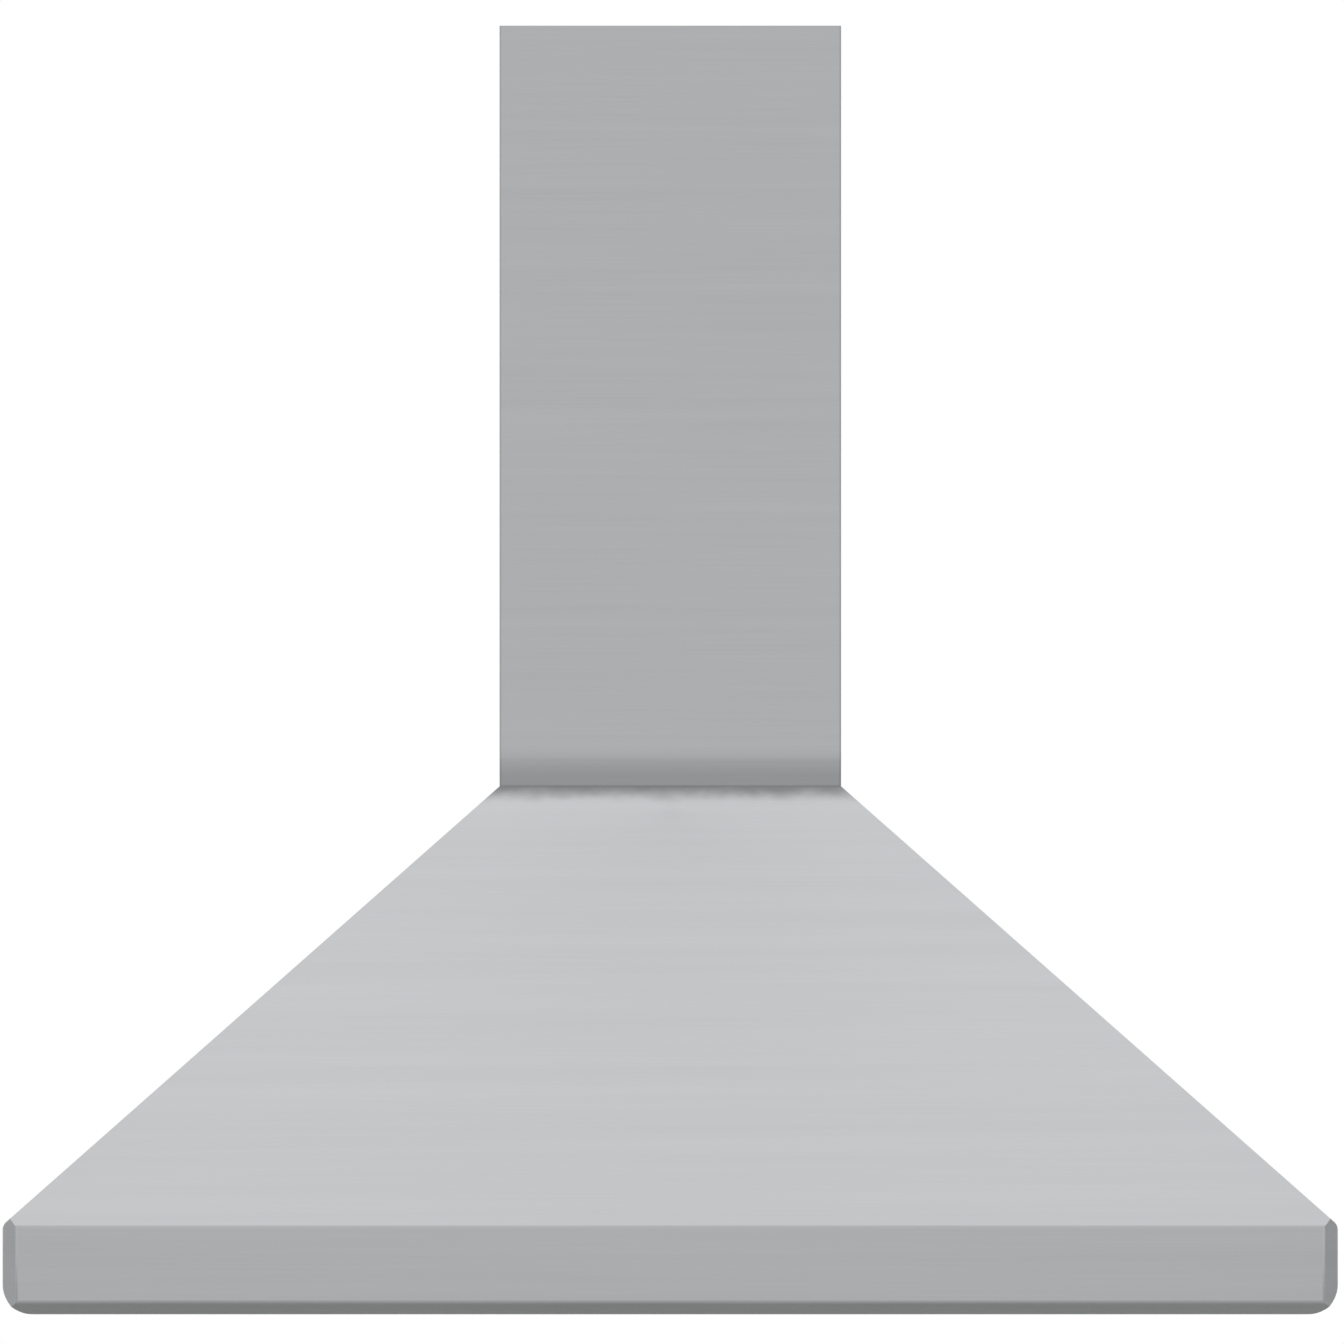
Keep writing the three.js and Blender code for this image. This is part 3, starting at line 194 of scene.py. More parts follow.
def combined(bm, tool, operation):
    """The first mesh with the second added, cut away or intersected."""
    pair = [bpy.data.objects.new(n, bpy.data.meshes.new(n)) for n in ("base", "tool")]
    for thing, drawn in zip(pair, (bm, tool)):
        drawn.to_mesh(thing.data)
        drawn.free()
        bpy.context.scene.collection.objects.link(thing)
    change = pair[0].modifiers.new("change", "BOOLEAN")
    change.object = pair[1]
    change.operation = operation
    change.solver = "EXACT"
    result = bmesh.new()
    result.from_object(pair[0], bpy.context.evaluated_depsgraph_get())
    for thing in pair:
        bpy.data.meshes.remove(thing.data)
    bmesh.ops.remove_doubles(result, verts=result.verts, dist=0.01)
    return result


def cut(bm, *tools):
    """The drawn mesh with others cut away, one after the other."""
    for tool in tools:
        bm = combined(bm, tool, "DIFFERENCE")
    return bm


def as_object(bm, name, smooth_angle=30):
    """The drawn mesh as an object in metres, smooth where its faces meet at a low angle."""
    bmesh.ops.scale(bm, vec=(0.001, 0.001, 0.001), verts=bm.verts)
    mesh = bpy.data.meshes.new(name)
    bm.to_mesh(mesh)
    bm.free()
    mesh.shade_smooth()
    mesh.set_sharp_from_angle(angle=math.radians(smooth_angle))
    piece = bpy.data.objects.new(name, mesh)
    bpy.context.scene.collection.objects.link(piece)
    even = piece.modifiers.new("even_normals", "WEIGHTED_NORMAL")
    even.keep_sharp = True
    return piece


def dress(bm, name, material, body, *stands_for, smooth_angle=30):
    """Makes a piece with its finish, the body it moves with and the solids it stands for."""
    piece = as_object(bm, name, smooth_angle)
    piece.data.materials.append(material)
    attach(piece, body)
    if stands_for:
        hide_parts(*stands_for)


slope_rise = canopy_height - rim_height
front_lean = (chimney_front_y - front_y) / slope_rise
side_lean = (hood_half_width - chimney_half_width) / slope_rise


def slope_in(lean, height, depth=0):
    """How far in from the rim a slope stands at a height and a depth square to its sheet."""
    return lean * (height - rim_height) + depth * math.hypot(1, lean)


def mirrored(half):
    """Half a line of points, and then its mirror image on the hood's other side."""
    return half + [(-x, *rest) for x, *rest in half[::-1]]


def canopy_solid(inset, past):
    """The side view, the front view and the plan of the canopy, crossed with one another."""
    x, y = hood_half_width - inset, front_y + inset
    back, top = panel_y + past, canopy_height + past
    top_x = hood_half_width - slope_in(side_lean, top, inset)
    top_y = front_y + slope_in(front_lean, top, inset)
    front_crease, side_crease = (
        rim_height + inset * (1 - math.hypot(1, lean)) / lean for lean in (front_lean, side_lean)
    )
    foot, end = (width - inset * (2 - math.sqrt(2)) for width in (rim_bevel, end_bevel))
    side = [(back, inset), (y + foot, inset), (y, inset + foot)]
    side += [(y, front_crease), (top_y, top), (back, top)]
    folds = {1: bevel_ease, 2: bevel_ease, 3: front_fold}
    side_view = prism("X", -x - 1, x + 1, side, folds)
    front = [(-x, inset), (x, inset), (x, side_crease)]
    front += [(top_x, top), (-top_x, top), (-x, side_crease)]
    folds = {0: rim_corner - inset, 1: rim_corner - inset, 2: side_fold, 5: side_fold}
    front_view = prism("Y", y - 1, back + 1, front, folds)
    above = mirrored([(-x, back), (-x, y + end), (-x + end, y)])
    plan = prism("Z", inset - 1, top + 1, above, dict.fromkeys(range(1, 5), bevel_ease))
    return combined(combined(side_view, front_view, "INTERSECT"), plan, "INTERSECT")


mouth_x = hood_half_width - rim_flange
mouth = block(-mouth_x, mouth_x, front_y + rim_flange, panel_y + 5, -1, 3)
canopy = cut(canopy_solid(0, 0), canopy_solid(canopy_sheet, 2), mouth)
sheets = ("canopy_front", "canopy_left", "canopy_right", "rim_front", "rim_left", "rim_right")
dress(canopy, "canopy_skin", canopy_steel, "root", *sheets)

# ------------ back panel and hanging bar
# The back of the canopy is one galvanised sheet, stiffened by three pressed beads and spot
# welded along the slopes. The whole hood hangs by two bolts through it and a steel bar.


def crystal_metal(name, pale, dull, crystal, roughness):
    """Sheet metal whose tone and gloss change from crystal to crystal, of a size in mm."""
    material = new_material(name)
    place = add(material, "TexCoord").outputs["Object"]
    wander = add(material, "TexNoise", {"Vector": place, "Scale": 900 / crystal, "Detail": 2})
    sockets = {0: wander.outputs["Color"], 1: (crystal / 2500,) * 3, 2: place}
    bent = add(material, "VectorMath", sockets, operation="MULTIPLY_ADD")
    cells = add(material, "TexVoronoi", {"Vector": bent, "Scale": 1000 / crystal})
    each = add(material, "SeparateColor", {0: cells.outputs["Color"]}).outputs
    sockets = {"Factor": each[0], "A": linear(dull), "B": linear(pale)}
    colour = add(material, "Mix", sockets, data_type="RGBA").outputs["Result"]
    sockets = {"Value": each[1], "To Min": roughness - 0.05, "To Max": roughness + 0.05}
    gloss = add(material, "MapRange", sockets)
    facets = add(material, "Bump", {"Height": each[2], "Strength": 0.06, "Distance": 0.0002})
    sockets = {"Base Color": colour, "Metallic": 1, "Roughness": gloss, "Normal": facets}
    add(material, "OutputMaterial", {"Surface": add(material, "BsdfPrincipled", sockets)})
    return material


def finish_solids(material, *names):
    """The CAD solids whose shape is right keep it and take the real finish."""
    for name in names:
        nodes[name].data.materials.clear()
        nodes[name].data.materials.append(material)


def rotated(bm, axis, degrees):
    """The drawn mesh turned about an axis through the origin."""
    bmesh.ops.rotate(bm, matrix=Matrix.Rotation(math.radians(degrees), 3, axis), verts=bm.verts)
    return bm


def turned(profile, steps, centre=(0, 0, 0), axis="Z"):
    """A closed profile of radius and height pairs, spun about an axis through a centre."""
    bm = bmesh.new()
    points = [bm.verts.new((radius, 0, height)) for radius, height in profile]
    for pair in zip(points, points[1:] + points[:1]):
        if pair[0].co.x > 0 or pair[1].co.x > 0:
            bm.edges.new(pair)
    bmesh.ops.spin(
        bm,
        geom=bm.verts[:] + bm.edges[:],
        cent=(0, 0, 0),
        axis=(0, 0, 1),
        angle=math.tau,
        steps=steps,
        use_merge=True,
    )
    bmesh.ops.remove_doubles(bm, verts=bm.verts, dist=0.001)
    bmesh.ops.recalc_face_normals(bm, faces=bm.faces)
    if axis == "Y":
        rotated(bm, "X", -90)
    if axis == "X":
        rotated(bm, "Y", 90)
    return moved(bm, centre)


def drill(radius, reach, steps, centre, axis="Z"):
    """A round cutter that reaches so far to either side of a centre."""
    return turned([(0, -reach), (radius, -reach), (radius, reach), (0, reach)], steps, centre, axis)


def gathered(*parts):
    """Several drawn meshes as one."""
    whole = bmesh.new()
    for part in parts:
        mesh = bpy.data.meshes.new("part")
        part.to_mesh(mesh)
        part.free()
        whole.from_mesh(mesh)
        bpy.data.meshes.remove(mesh)
    return whole


def copied_to(bm, places):
    """The drawn mesh once at each place, and no longer where it was drawn."""
    drawn = bm.verts[:]
    first = drawn + bm.edges[:] + bm.faces[:]
    for place in places:
        moved(bm, place, bmesh.ops.duplicate(bm, geom=first))
    bmesh.ops.delete(bm, geom=drawn, context="VERTS")
    return bm


def eased(bm, width, segments=3, sharper_than=40):
    """The drawn mesh with every edge rounded that turns by more than an angle."""
    sharp = [edge for edge in bm.edges if edge.calc_face_angle(0) > math.radians(sharper_than)]
    return bevelled(bm, sharp, width, segments)


def capsule(z, half, width, y0, y1):
    """A long bar with round ends across the hood, from y0 back to y1."""
    low, high = z - width / 2, z + width / 2
    corners = [(-half, low), (half, low), (half, high), (-half, high)]
    return prism("Y", y0, y1, corners, dict.fromkeys(range(4), width / 2 - 0.1))


wall_y = 305
bolt_x = 114
bolt_height = 447.8
bolt_hole = 4
bar_face_y = 300.8
bead_half_lengths = {130: 430, 210: 340, 290: 250}
bead_width = 16
bead_depth = 2.2
weld_inset = 9
weld_count = 9
weld_dimple = [(0, -0.4), (2.6, 0), (2.6, 1), (0, 1)]

outline = [(-hood_half_width, 0), (hood_half_width, 0), (hood_half_width, rim_height)]
outline += [(chimney_half_width, canopy_height), (-chimney_half_width, canopy_height)]
outline += [(-hood_half_width, rim_height)]
back_sheet = prism("Y", panel_y, wall_y, outline, {0: rim_corner, 1: rim_corner})
for height, half in bead_half_lengths.items():
    raised = capsule(height, half, bead_width, panel_y - bead_depth, panel_y + 0.5)
    inner_width = bead_width - 2 * canopy_sheet
    hollow = capsule(height, half - canopy_sheet, inner_width, wall_y - bead_depth, wall_y + 1)
    back_sheet = cut(combined(back_sheet, raised, "UNION"), hollow)
back_sheet = eased(back_sheet, 0.4, 2)
marks = []
for n in range(weld_count):
    height = rim_height + slope_rise * (n + 0.5) / weld_count
    x = hood_half_width - slope_in(side_lean, height) - weld_inset
    marks += [turned(weld_dimple, 16, (side * x, wall_y, height), "Y") for side in (-1, 1)]
marks += [drill(bolt_hole, 9, 32, (x, wall_y, bolt_height), "Y") for x in (-bolt_x, bolt_x)]
back_sheet = cut(back_sheet, gathered(*marks))
# Zinc crystals about 9 mm across: a cool grey that glints a little unevenly.
zinc = crystal_metal("galvanised_spangle", "AEB2B5", "9EA3A6", 9, 0.42)
dress(back_sheet, "back_sheet", zinc, "root", "back_panel")
finish_solids(zinc, "hanging_bar")


def hex_bolt(across, head, washer, shank, shank_radius):
    """A hexagon head on a round washer, looking along -Y, with its shank behind."""
    half, top = across / 2, washer + head
    crown = [(0, washer), (half, washer), (half, top - 1), (half - 1.4, top), (0, top)]
    ring = [(0, 0), (across * 0.8, 0), (across * 0.8, washer), (0, washer)]
    rod = [(0, -shank), (shank_radius, -shank), (shank_radius, 0), (0, 0)]
    parts = [eased(turned(*part), 0.4, 2) for part in ((ring, 32), (crown, 6), (rod, 24))]
    return rotated(gathered(*parts), "X", 90)


places = [(x, bar_face_y, bolt_height) for x in (-bolt_x, bolt_x)]
bolts = copied_to(hex_bolt(13, 5.5, 1.6, 4, 3.9), places)
# Bright zinc plate: a pale steel with a faint cloud in it.
plated_steel = crystal_metal("zinc_plated_steel", "C2C4C4", "B8BABA", 2, 0.3)
dress(bolts, "hanging_bolts", plated_steel, "root")

# ------------ chimney cover
# The lower chimney section is one 1 mm sheet folded to a U on a press brake, with a narrow
# return down each back edge. The front of its foot is drawn in a little over the canopy, and
# its colour darkens towards the foot as painted shade. The upper section slides inside it.

chimney_top = 1205
chimney_sheet = 1
chimney_return = 18
chimney_bend = 2.5
foot_height = 28
foot_draw = 2.4
upper_inset = 4
upper_foot = 475.3
upper_top = 1203
bracket_screw_x = 90
bracket_face_y = 297.7
bracket_height = 1165.5


def folded(line, push, bend, segments, facing):
    """A line of points pushed along a vector into a surface, with its folds rounded and its
    broadest face looking the way of facing."""
    bm = bmesh.new()
    points = [bm.verts.new(point) for point in line]
    edges = [bm.edges.new(pair) for pair in zip(points, points[1:])]
    moved(bm, push, bmesh.ops.extrude_edge_only(bm, edges=edges))
    bevelled(bm, [e for e in bm.edges if len(e.link_faces) == 2], bend, segments)
    bmesh.ops.recalc_face_normals(bm, faces=bm.faces)
    broad = max(bm.faces, key=lambda face: face.calc_area())
    if broad.normal.dot(Vector(facing)) < 0:
        bmesh.ops.reverse_faces(bm, faces=bm.faces)
    return bm


def folded_section(inset, foot, top):
    """A U of sheet in plan, standing from foot to top, its faces pointing outwards."""
    x, front, back = chimney_half_width - inset, chimney_front_y + inset, wall_y - inset
    line = mirrored([(chimney_return - x, back, foot), (-x, back, foot), (-x, front, foot)])
    return folded(line, (0, 0, top - foot), chimney_bend, 6, (0, -1, 0))


def thickened(bm, sheet):
    """The drawn surface as sheet metal."""
    bmesh.ops.solidify(bm, geom=bm.faces[:], thickness=sheet)
    return bm


chimney = folded_section(0, canopy_height, chimney_top)
for height in (foot_height, foot_height - 2, foot_height / 2):
    bmesh.ops.bisect_plane(
        chimney,
        geom=chimney.verts[:] + chimney.edges[:] + chimney.faces[:],
        plane_co=(0, 0, canopy_height + height),
        plane_no=(0, 0, 1),
    )
for vert in chimney.verts:
    if vert.co.y < wall_y / 2:
        vert.co.y += foot_draw * max(0, 1 - (vert.co.z - canopy_height) / foot_height)
# Painted shade: the chimney's colour darkens towards its foot.
chimney_painted_shade = {"begins": 516, "seam": 482, "share": 0.74, "streaks": (5, 5, 400), "wander": 4}
chimney_steel = brushed_stainless("chimney", *level_brushing, chimney_painted_shade)
thickened(chimney, chimney_sheet)
dress(chimney, "chimney_cover", chimney_steel, "root", "chimney_lower")

upper = thickened(folded_section(upper_inset, upper_foot, upper_top), chimney_sheet)
upright_steel = brushed_stainless("upright", *level_brushing)
dress(upper, "chimney_upper_cover", upright_steel, "chimney_upper", "chimney_upper")
finish_solids(zinc, "chimney_bracket", "top_plate")


def pan_screw(radius):
    """A domed screw head with a cross recess, looking up."""
    dome = [(0, 0), (1, 0), (1, 0.25), (0.8, 0.5), (0.4, 0.62), (0, 0.65)]
    head = turned([(r * radius, h * radius) for r, h in dome], 24)
    arm = radius * 0.55
    for a, b in ((arm, 0.35), (0.35, arm)):
        head = cut(head, block(-a, a, -b, b, radius * 0.35, radius))
    return head


places = [(x, bracket_face_y, bracket_height) for x in (-bracket_screw_x, bracket_screw_x)]
bracket_screws = copied_to(rotated(pan_screw(5), "X", 90), places)
dress(bracket_screws, "bracket_screws", plated_steel, "root")

# ------------ liner
# The liner closes the underside 24 mm up inside the rim: a front panel with the lamps and
# buttons, a shelf at each side, and the rail and dividers that carry the filters. All of it
# is 1 mm brushed sheet, with the grain along the length of each strip.

shaded_steel = ("B6B7B9", "A8A9AB")
across_steel = brushed_stainless("across", *shaded_steel, (6, 700, 700), (1.5, 80, 80))
along_steel = brushed_stainless("along", *shaded_steel, (700, 6, 700), (80, 1.5, 80))

panel_underside = 24
liner_sheet = 1
liner_bend = 2
liner_inset = 1.95
skirt_top = 37.5
riser_y = -157
riser_half = 557.7
ledge_end_y = riser_y + 30
ledge_height = 120.8
lamp_xs = (-450, -150, 150, 450)
lamp_y = -214
lamp_hole = 30.3
control_hole_half = 84
control_hole_depth = 13
panel_front = front_y + liner_inset
panel_top = panel_underside + liner_sheet
panel_back = riser_y + liner_sheet
inner_bend = liner_bend - liner_sheet

ledge_top = ledge_height + liner_sheet
skirt_back = panel_front + liner_sheet
panel_fold = [(panel_front, panel_underside), (panel_back, panel_underside)]
panel_fold += [(panel_back, ledge_height), (ledge_end_y, ledge_height), (ledge_end_y, ledge_top)]
panel_fold += [(riser_y, ledge_top), (riser_y, panel_top), (skirt_back, panel_top)]
panel_fold += [(skirt_back, skirt_top), (panel_front, skirt_top)]
bends = dict.fromkeys((0, 1, 5), liner_bend) | dict.fromkeys((2, 6, 7), inner_bend)
folded_panel = prism("X", -riser_half, riser_half, panel_fold, bends)
wing_x = hood_half_width - liner_inset
wing_bevel = end_bevel - liner_inset * (2 - math.sqrt(2))
wing_front = panel_front + 0.01
half_wing = [(-wing_x, panel_back), (-wing_x, panel_front + wing_bevel)]
half_wing += [(wing_bevel - wing_x, wing_front)]
wings = prism("Z", panel_underside, panel_top, mirrored(half_wing))
wings = cut(wings, block(-riser_half, riser_half, panel_front - 1, panel_back + 1, 20, 30))
hole_front, hole_back = lamp_y - control_hole_depth, lamp_y + control_hole_depth
holes = gathered(
    block(-control_hole_half, control_hole_half, hole_front, hole_back, 20, 30),
    *(drill(lamp_hole, 5, 64, (x, lamp_y, panel_underside)) for x in lamp_xs),
)
liner_panel = cut(gathered(folded_panel, wings), holes)
dress(liner_panel, "liner_panel", across_steel, "root", "liner_front")
finish_solids(across_steel, "rear_rail")
finish_solids(along_steel, "liner_left", "liner_right", "filter_divider_1", "filter_divider_2")

divider_xs = (-188, 188)
divider_rivet_ys = (-18, -345)
bank_hinge = (0, 215, 42)
bank_tilt = math.radians(-8)
bank = Matrix.Translation(bank_hinge) @ Matrix.Rotation(bank_tilt, 4, "X")


def banked(bm, shift=Matrix.Identity(4)):
    """A mesh drawn level, shifted and then tilted to where the bank of filters lies."""
    bmesh.ops.transform(bm, matrix=bank @ shift, verts=bm.verts)
    return bm


def rivet_head(radius, height):
    """A low domed rivet head that looks down, with a dimple at its centre."""
    dome = [(0, 0), (1, 0), (0.92, -0.5), (0.62, -0.9), (0.3, -1), (0.22, -0.8), (0, -0.75)]
    return turned([(r * radius, h * height) for r, h in dome], 20)


rivets = copied_to(rivet_head(3, 1.2), [(x, y, 0) for x in divider_xs for y in divider_rivet_ys])
dress(banked(rivets), "divider_rivets", plated_steel, "root")

# ------------ baffle filters
# Three dishwasher-proof filters. Each is a folded channel frame round two rows of pressed
# baffles with hemmed lips: the lower row opens upwards and the upper row down, so that grease
# hits a turn. Two riveted ears hold a wire pull, bent from 3.2 mm rod.

filter_xs = {"left": -376, "middle": 0, "right": 376}
filter_half_width = 181
filter_front = -366.6
filter_back = 10
filter_height = 25
filter_sheet = 1
frame_flange = 14
frame_fold = 1.6
mitre_reach = 22
mitre_depth = 0.4
frame_rivet_ys = (filter_front + 24, filter_front + 190, filter_back - 24)
frame_rivet_x = filter_half_width - 7
baffle_count = 8
baffle_pitch = 45
baffle_width = 31
baffle_depth = 14
baffle_fold = 2
baffle_lip = 3.5
ear_x = 22.5
ear_y = filter_front + 40
ear_sheet = 1.5
ear_half = 5
ear_foot = -9
ear_hole_z = -4
ear_hole = 1.9


def filter_frame():
    """A channel frame with its corners mitred: the mitres show as fine lines underneath."""
    x, front, back, top = filter_half_width, filter_front, filter_back, filter_height
    wall, flange = filter_sheet, frame_flange
    cutters = [
        block(-x + wall, x - wall, front + wall, back - wall, wall, top - wall),
        block(-x + flange, x - flange, front + flange, back - flange, -1, top + 1),
    ]
    for corner in ((-x, front, 0), (x, front, 0), (-x, back, 0), (x, back, 0)):
        slant = 45 if (corner[0] < 0) == (corner[1] < 0) else -45
        groove = block(-mitre_reach, mitre_reach, -0.3, 0.3, -1, mitre_depth)
        cutters.append(moved(rotated(groove, "Z", slant), corner))
    return cut(eased(block(-x, x, front, back, 0, top), frame_fold), *cutters)


def baffle(x, opens_up):
    """A channel folded from sheet, with its two lips hemmed inwards."""
    half = baffle_width / 2
    low = filter_sheet / 2
    floor, lip = (low, low + baffle_depth)
    if not opens_up:
        floor, lip = filter_height - floor, filter_height - lip
    outline = mirrored([(-half + baffle_lip, lip), (-half, lip), (-half, floor)])
    start, end = filter_front + filter_sheet / 2, filter_back - filter_sheet / 2
    line = [(x + px, start, pz) for px, pz in outline]
    outside = (0, 0, -1 if opens_up else 1)
    bm = folded(line, (0, end - start, 0), baffle_fold, 4, outside)
    return thickened(bm, filter_sheet * 0.8)


def pull_ear(x):
    """A lug with a round end and a hole for the wire, riveted under a baffle."""
    front, back = ear_y - ear_half, ear_y + ear_half
    outline = [(front, 0.5), (back, 0.5), (back, ear_foot), (front, ear_foot)]
    lug = prism("X", x - ear_sheet / 2, x + ear_sheet / 2, outline, {2: 4.9, 3: 4.9})
    return cut(lug, drill(ear_hole, 3, 24, (x, ear_y, ear_hole_z), "X"))


def bent_rod(points, reaches, radius, sides=16):
    """A round rod or lead through some points, bent round each inner one. A reach is how far
    before its corner a bend begins."""
    points = [Vector(point) for point in points]
    heading = (points[1] - points[0]).normalized()
    bm = bmesh.new()
    bmesh.ops.create_circle(bm, cap_ends=True, radius=radius, segments=sides)
    bmesh.ops.rotate(bm, matrix=heading.to_track_quat("Z", "Y").to_matrix(), verts=bm.verts)
    moved(bm, points[0])
    foot = bm.faces[:][0]
    tip, place = [foot], points[0]
    for corner, following, reach in zip(points[1:], points[2:] + [None], [*reaches, 0]):
        stop = corner - heading * reach
        made = bmesh.ops.extrude_face_region(bm, geom=tip)
        moved(bm, stop - place, made)
        bmesh.ops.delete(bm, geom=[face for face in tip if face is not foot], context="FACES_ONLY")
        tip = [face for face in made["geom"] if isinstance(face, bmesh.types.BMFace)]
        if following is None:
            break
        ahead = (following - corner).normalized()
        turn = heading.angle(ahead)
        inward = (ahead - heading * heading.dot(ahead)).normalized()
        made = bmesh.ops.spin(
            bm,
            geom=tip,
            cent=stop + inward * reach / math.tan(turn / 2),
            axis=heading.cross(ahead).normalized(),
            angle=turn,
            steps=8,
            use_merge=False,
        )["geom_last"]
        bmesh.ops.delete(bm, geom=tip, context="FACES_ONLY")
        tip = [face for face in made if isinstance(face, bmesh.types.BMFace)]
        heading, place = ahead, corner + ahead * reach
    bmesh.ops.remove_doubles(bm, verts=bm.verts, dist=0.001)
    bmesh.ops.recalc_face_normals(bm, faces=bm.faces)
    return bm


def clouded(name, colours, clouds, grain, relief, sockets):
    """A surface that drifts between two colours, and two glosses where sockets holds a pair, in
    soft clouds. Clouds and grain give a noise's scale and detail, and relief the grain's
    strength and depth."""
    material = new_material(name)
    place = add(material, "TexCoord").outputs["Object"]
    cloud, grain = (
        add(material, "TexNoise", {"Vector": place, "Scale": scale, "Detail": detail})
        for scale, detail in (clouds, grain)
    )
    pale, dull = (linear(colour) for colour in colours)
    blend = {"Factor": cloud, "A": dull, "B": pale}
    sockets["Base Color"] = add(material, "Mix", blend, data_type="RGBA").outputs["Result"]
    if isinstance(sockets["Roughness"], tuple):
        low, high = sockets["Roughness"]
        sockets["Roughness"] = add(
            material, "MapRange", {"Value": cloud, "To Min": low, "To Max": high}
        )
    strength, depth = relief
    bumps = {"Height": grain, "Strength": strength, "Distance": depth}
    sockets["Normal"] = add(material, "Bump", bumps)
    add(material, "OutputMaterial", {"Surface": add(material, "BsdfPrincipled", sockets)})
    return material


# Mop-buffed stainless: nearly a mirror, with a haze that comes and goes every 25 mm and a
# faint grain of 0.6 mm.
polished_steel = clouded(
    "polished_steel",
    ("D0D2D4", "C4C6C8"),
    clouds=(40, 3),
    grain=(1800, 2),
    relief=(0.04, 0.0001),
    sockets={"Metallic": 1, "Roughness": (0.23, 0.13)},
)
pull_radius = 1.6
pull_leg = 25.15
pull_stub = 20.15
pull_drop = 32
pull_path = mirrored([(-pull_stub, 0, 0), (-pull_leg, 0, 0), (-pull_leg, 0, -pull_drop)])
pull_place = bank @ Vector((0, ear_y, ear_hole_z))
for side, x in filter_xs.items():
    body = f"filter_{side}"
    shift = Matrix.Translation((x, 0, 0))
    frame_mesh = gathered(filter_frame(), pull_ear(-ear_x), pull_ear(ear_x))
    dress(banked(frame_mesh, shift), f"filter_frame_{side}", along_steel, body, body)
    rows = [
        baffle((n - (count - 1) / 2) * baffle_pitch, opens_up)
        for count, opens_up in ((baffle_count, True), (baffle_count - 1, False))
        for n in range(count)
    ]
    dress(banked(gathered(*rows), shift), f"filter_baffles_{side}", along_steel, body)
    places = [(px, py, 0) for px in (-frame_rivet_x, frame_rivet_x) for py in frame_rivet_ys]
    studs = copied_to(rivet_head(2.4, 1), places)
    dress(banked(studs, shift), f"filter_rivets_{side}", polished_steel, body)
    pull = bent_rod(pull_path, (2.4, 6, 6, 2.4), pull_radius)
    moved(pull, (x, pull_place.y, pull_place.z))
    pull_body = f"filter_pull_{side}"
    dress(pull, f"filter_wire_{side}", polished_steel, pull_body, pull_body)

# ------------ grease tray
# A pressed stainless pan under the filters' low ends, with drawn corners and a soft fold all
# round its floor. It slips off two clips for washing.

tray_half = 550
tray_front = 221.8
tray_back = 291.8
tray_floor = 12
tray_lip = 34
tray_corner = 6
tray_fold = 3
tray_sheet = 0.8

tray = block(-tray_half, tray_half, tray_front, tray_back, tray_floor, tray_lip)
upright = [e for e in tray.edges if abs(e.verts[0].co.z - e.verts[1].co.z) > tray_fold]
bevelled(tray, upright, tray_corner, 6)
floor_edges = [e for e in tray.edges if max(v.co.z for v in e.verts) < tray_floor + 1]
bevelled(tray, floor_edges, tray_fold, 4)
top_face = max(tray.faces, key=lambda face: face.calc_center_median().z)
bmesh.ops.delete(tray, geom=[top_face], context="FACES_ONLY")
bmesh.ops.recalc_face_normals(tray, faces=tray.faces)
dress(thickened(tray, tray_sheet), "grease_pan", across_steel, "grease_tray", "grease_tray")

# ------------ lamps
# Four lamps in the front panel. Each has a turned and polished trim ring, clipped in from
# below, and a frosted glass lens with fine rings pressed in its face.

# Acid-etched glass: white and cloudy, because pits under 1 mm wide scatter what comes through.
frosted_glass = clouded(
    "acid_etched_glass",
    ("F4F6F5", "E4E8E8"),
    clouds=(60, 2),
    grain=(1250, 3),
    relief=(0.15, 0.0004),
    sockets={"Roughness": 0.45, "IOR": 1.5, "Transmission Weight": 0.35},
)
trim_lip = [(24, -0.9), (24.6, -1.8), (25.6, -2), (34.6, -2), (35.7, -1.3), (36, 0)]
trim_cup = [(30, 0), (30, 13.4), (29.4, 14), (0, 14), (0, 12.8), (28.8, 12.8), (28.8, 0), (24, 0)]
lens_rings = [(r, -0.35 if n % 2 else 0) for n, r in enumerate(range(2, 23, 2))]
lens_profile = [(0, -0.2), *lens_rings, (24, 0), (28.5, 0), (28.5, 3), (0, 3)]
lens_face = panel_underside + 0.36
for number, x in enumerate(lamp_xs, 1):
    trim = turned(trim_lip + trim_cup, 72, (x, lamp_y, panel_underside))
    dress(trim, f"lamp_ring_{number}", polished_steel, "root", f"lamp_trim_{number}")
    glass = turned(lens_profile, 72, (x, lamp_y, lens_face))
    name = f"lamp_glass_{number}"
    dress(glass, name, frosted_glass, "root", f"lamp_lens_{number}", smooth_angle=60)

# ------------ controls
# A moulded black bezel holds five turned steel push buttons. Above the panel, the buttons
# press switches on a small board, soldered and coated green.


def moulded(name, colour, shade, grain, roughness):
    """A moulded or coated surface: one body colour with a fine grain, its size in metres."""
    noise, gloss = (1 / grain, 3), (roughness + 0.08, roughness - 0.08)
    return clouded(name, (colour, shade), noise, noise, (0.2, 0.0001), {"Roughness": gloss})


# Moulded ABS with a fine spark-eroded texture, so that it is dark but never glossy.
black_abs = moulded("moulded_black_abs", "242527", "1B1C1D", 0.0006, 0.42)
button_xs = (-64, -32, 0, 32, 64)
button_well = 7.3
button_face = 17.6
button_sides = 48
finger_dish = [(0, -0.1), (9.4, -0.1), (8.8, 0.6), (0, 0.6)]
bezel_half = 92
bezel_depth = 17
bezel_face = 21.6
leg_sides = ((-83.7, -81.3), (81.3, 83.7))
leg_depth = 9

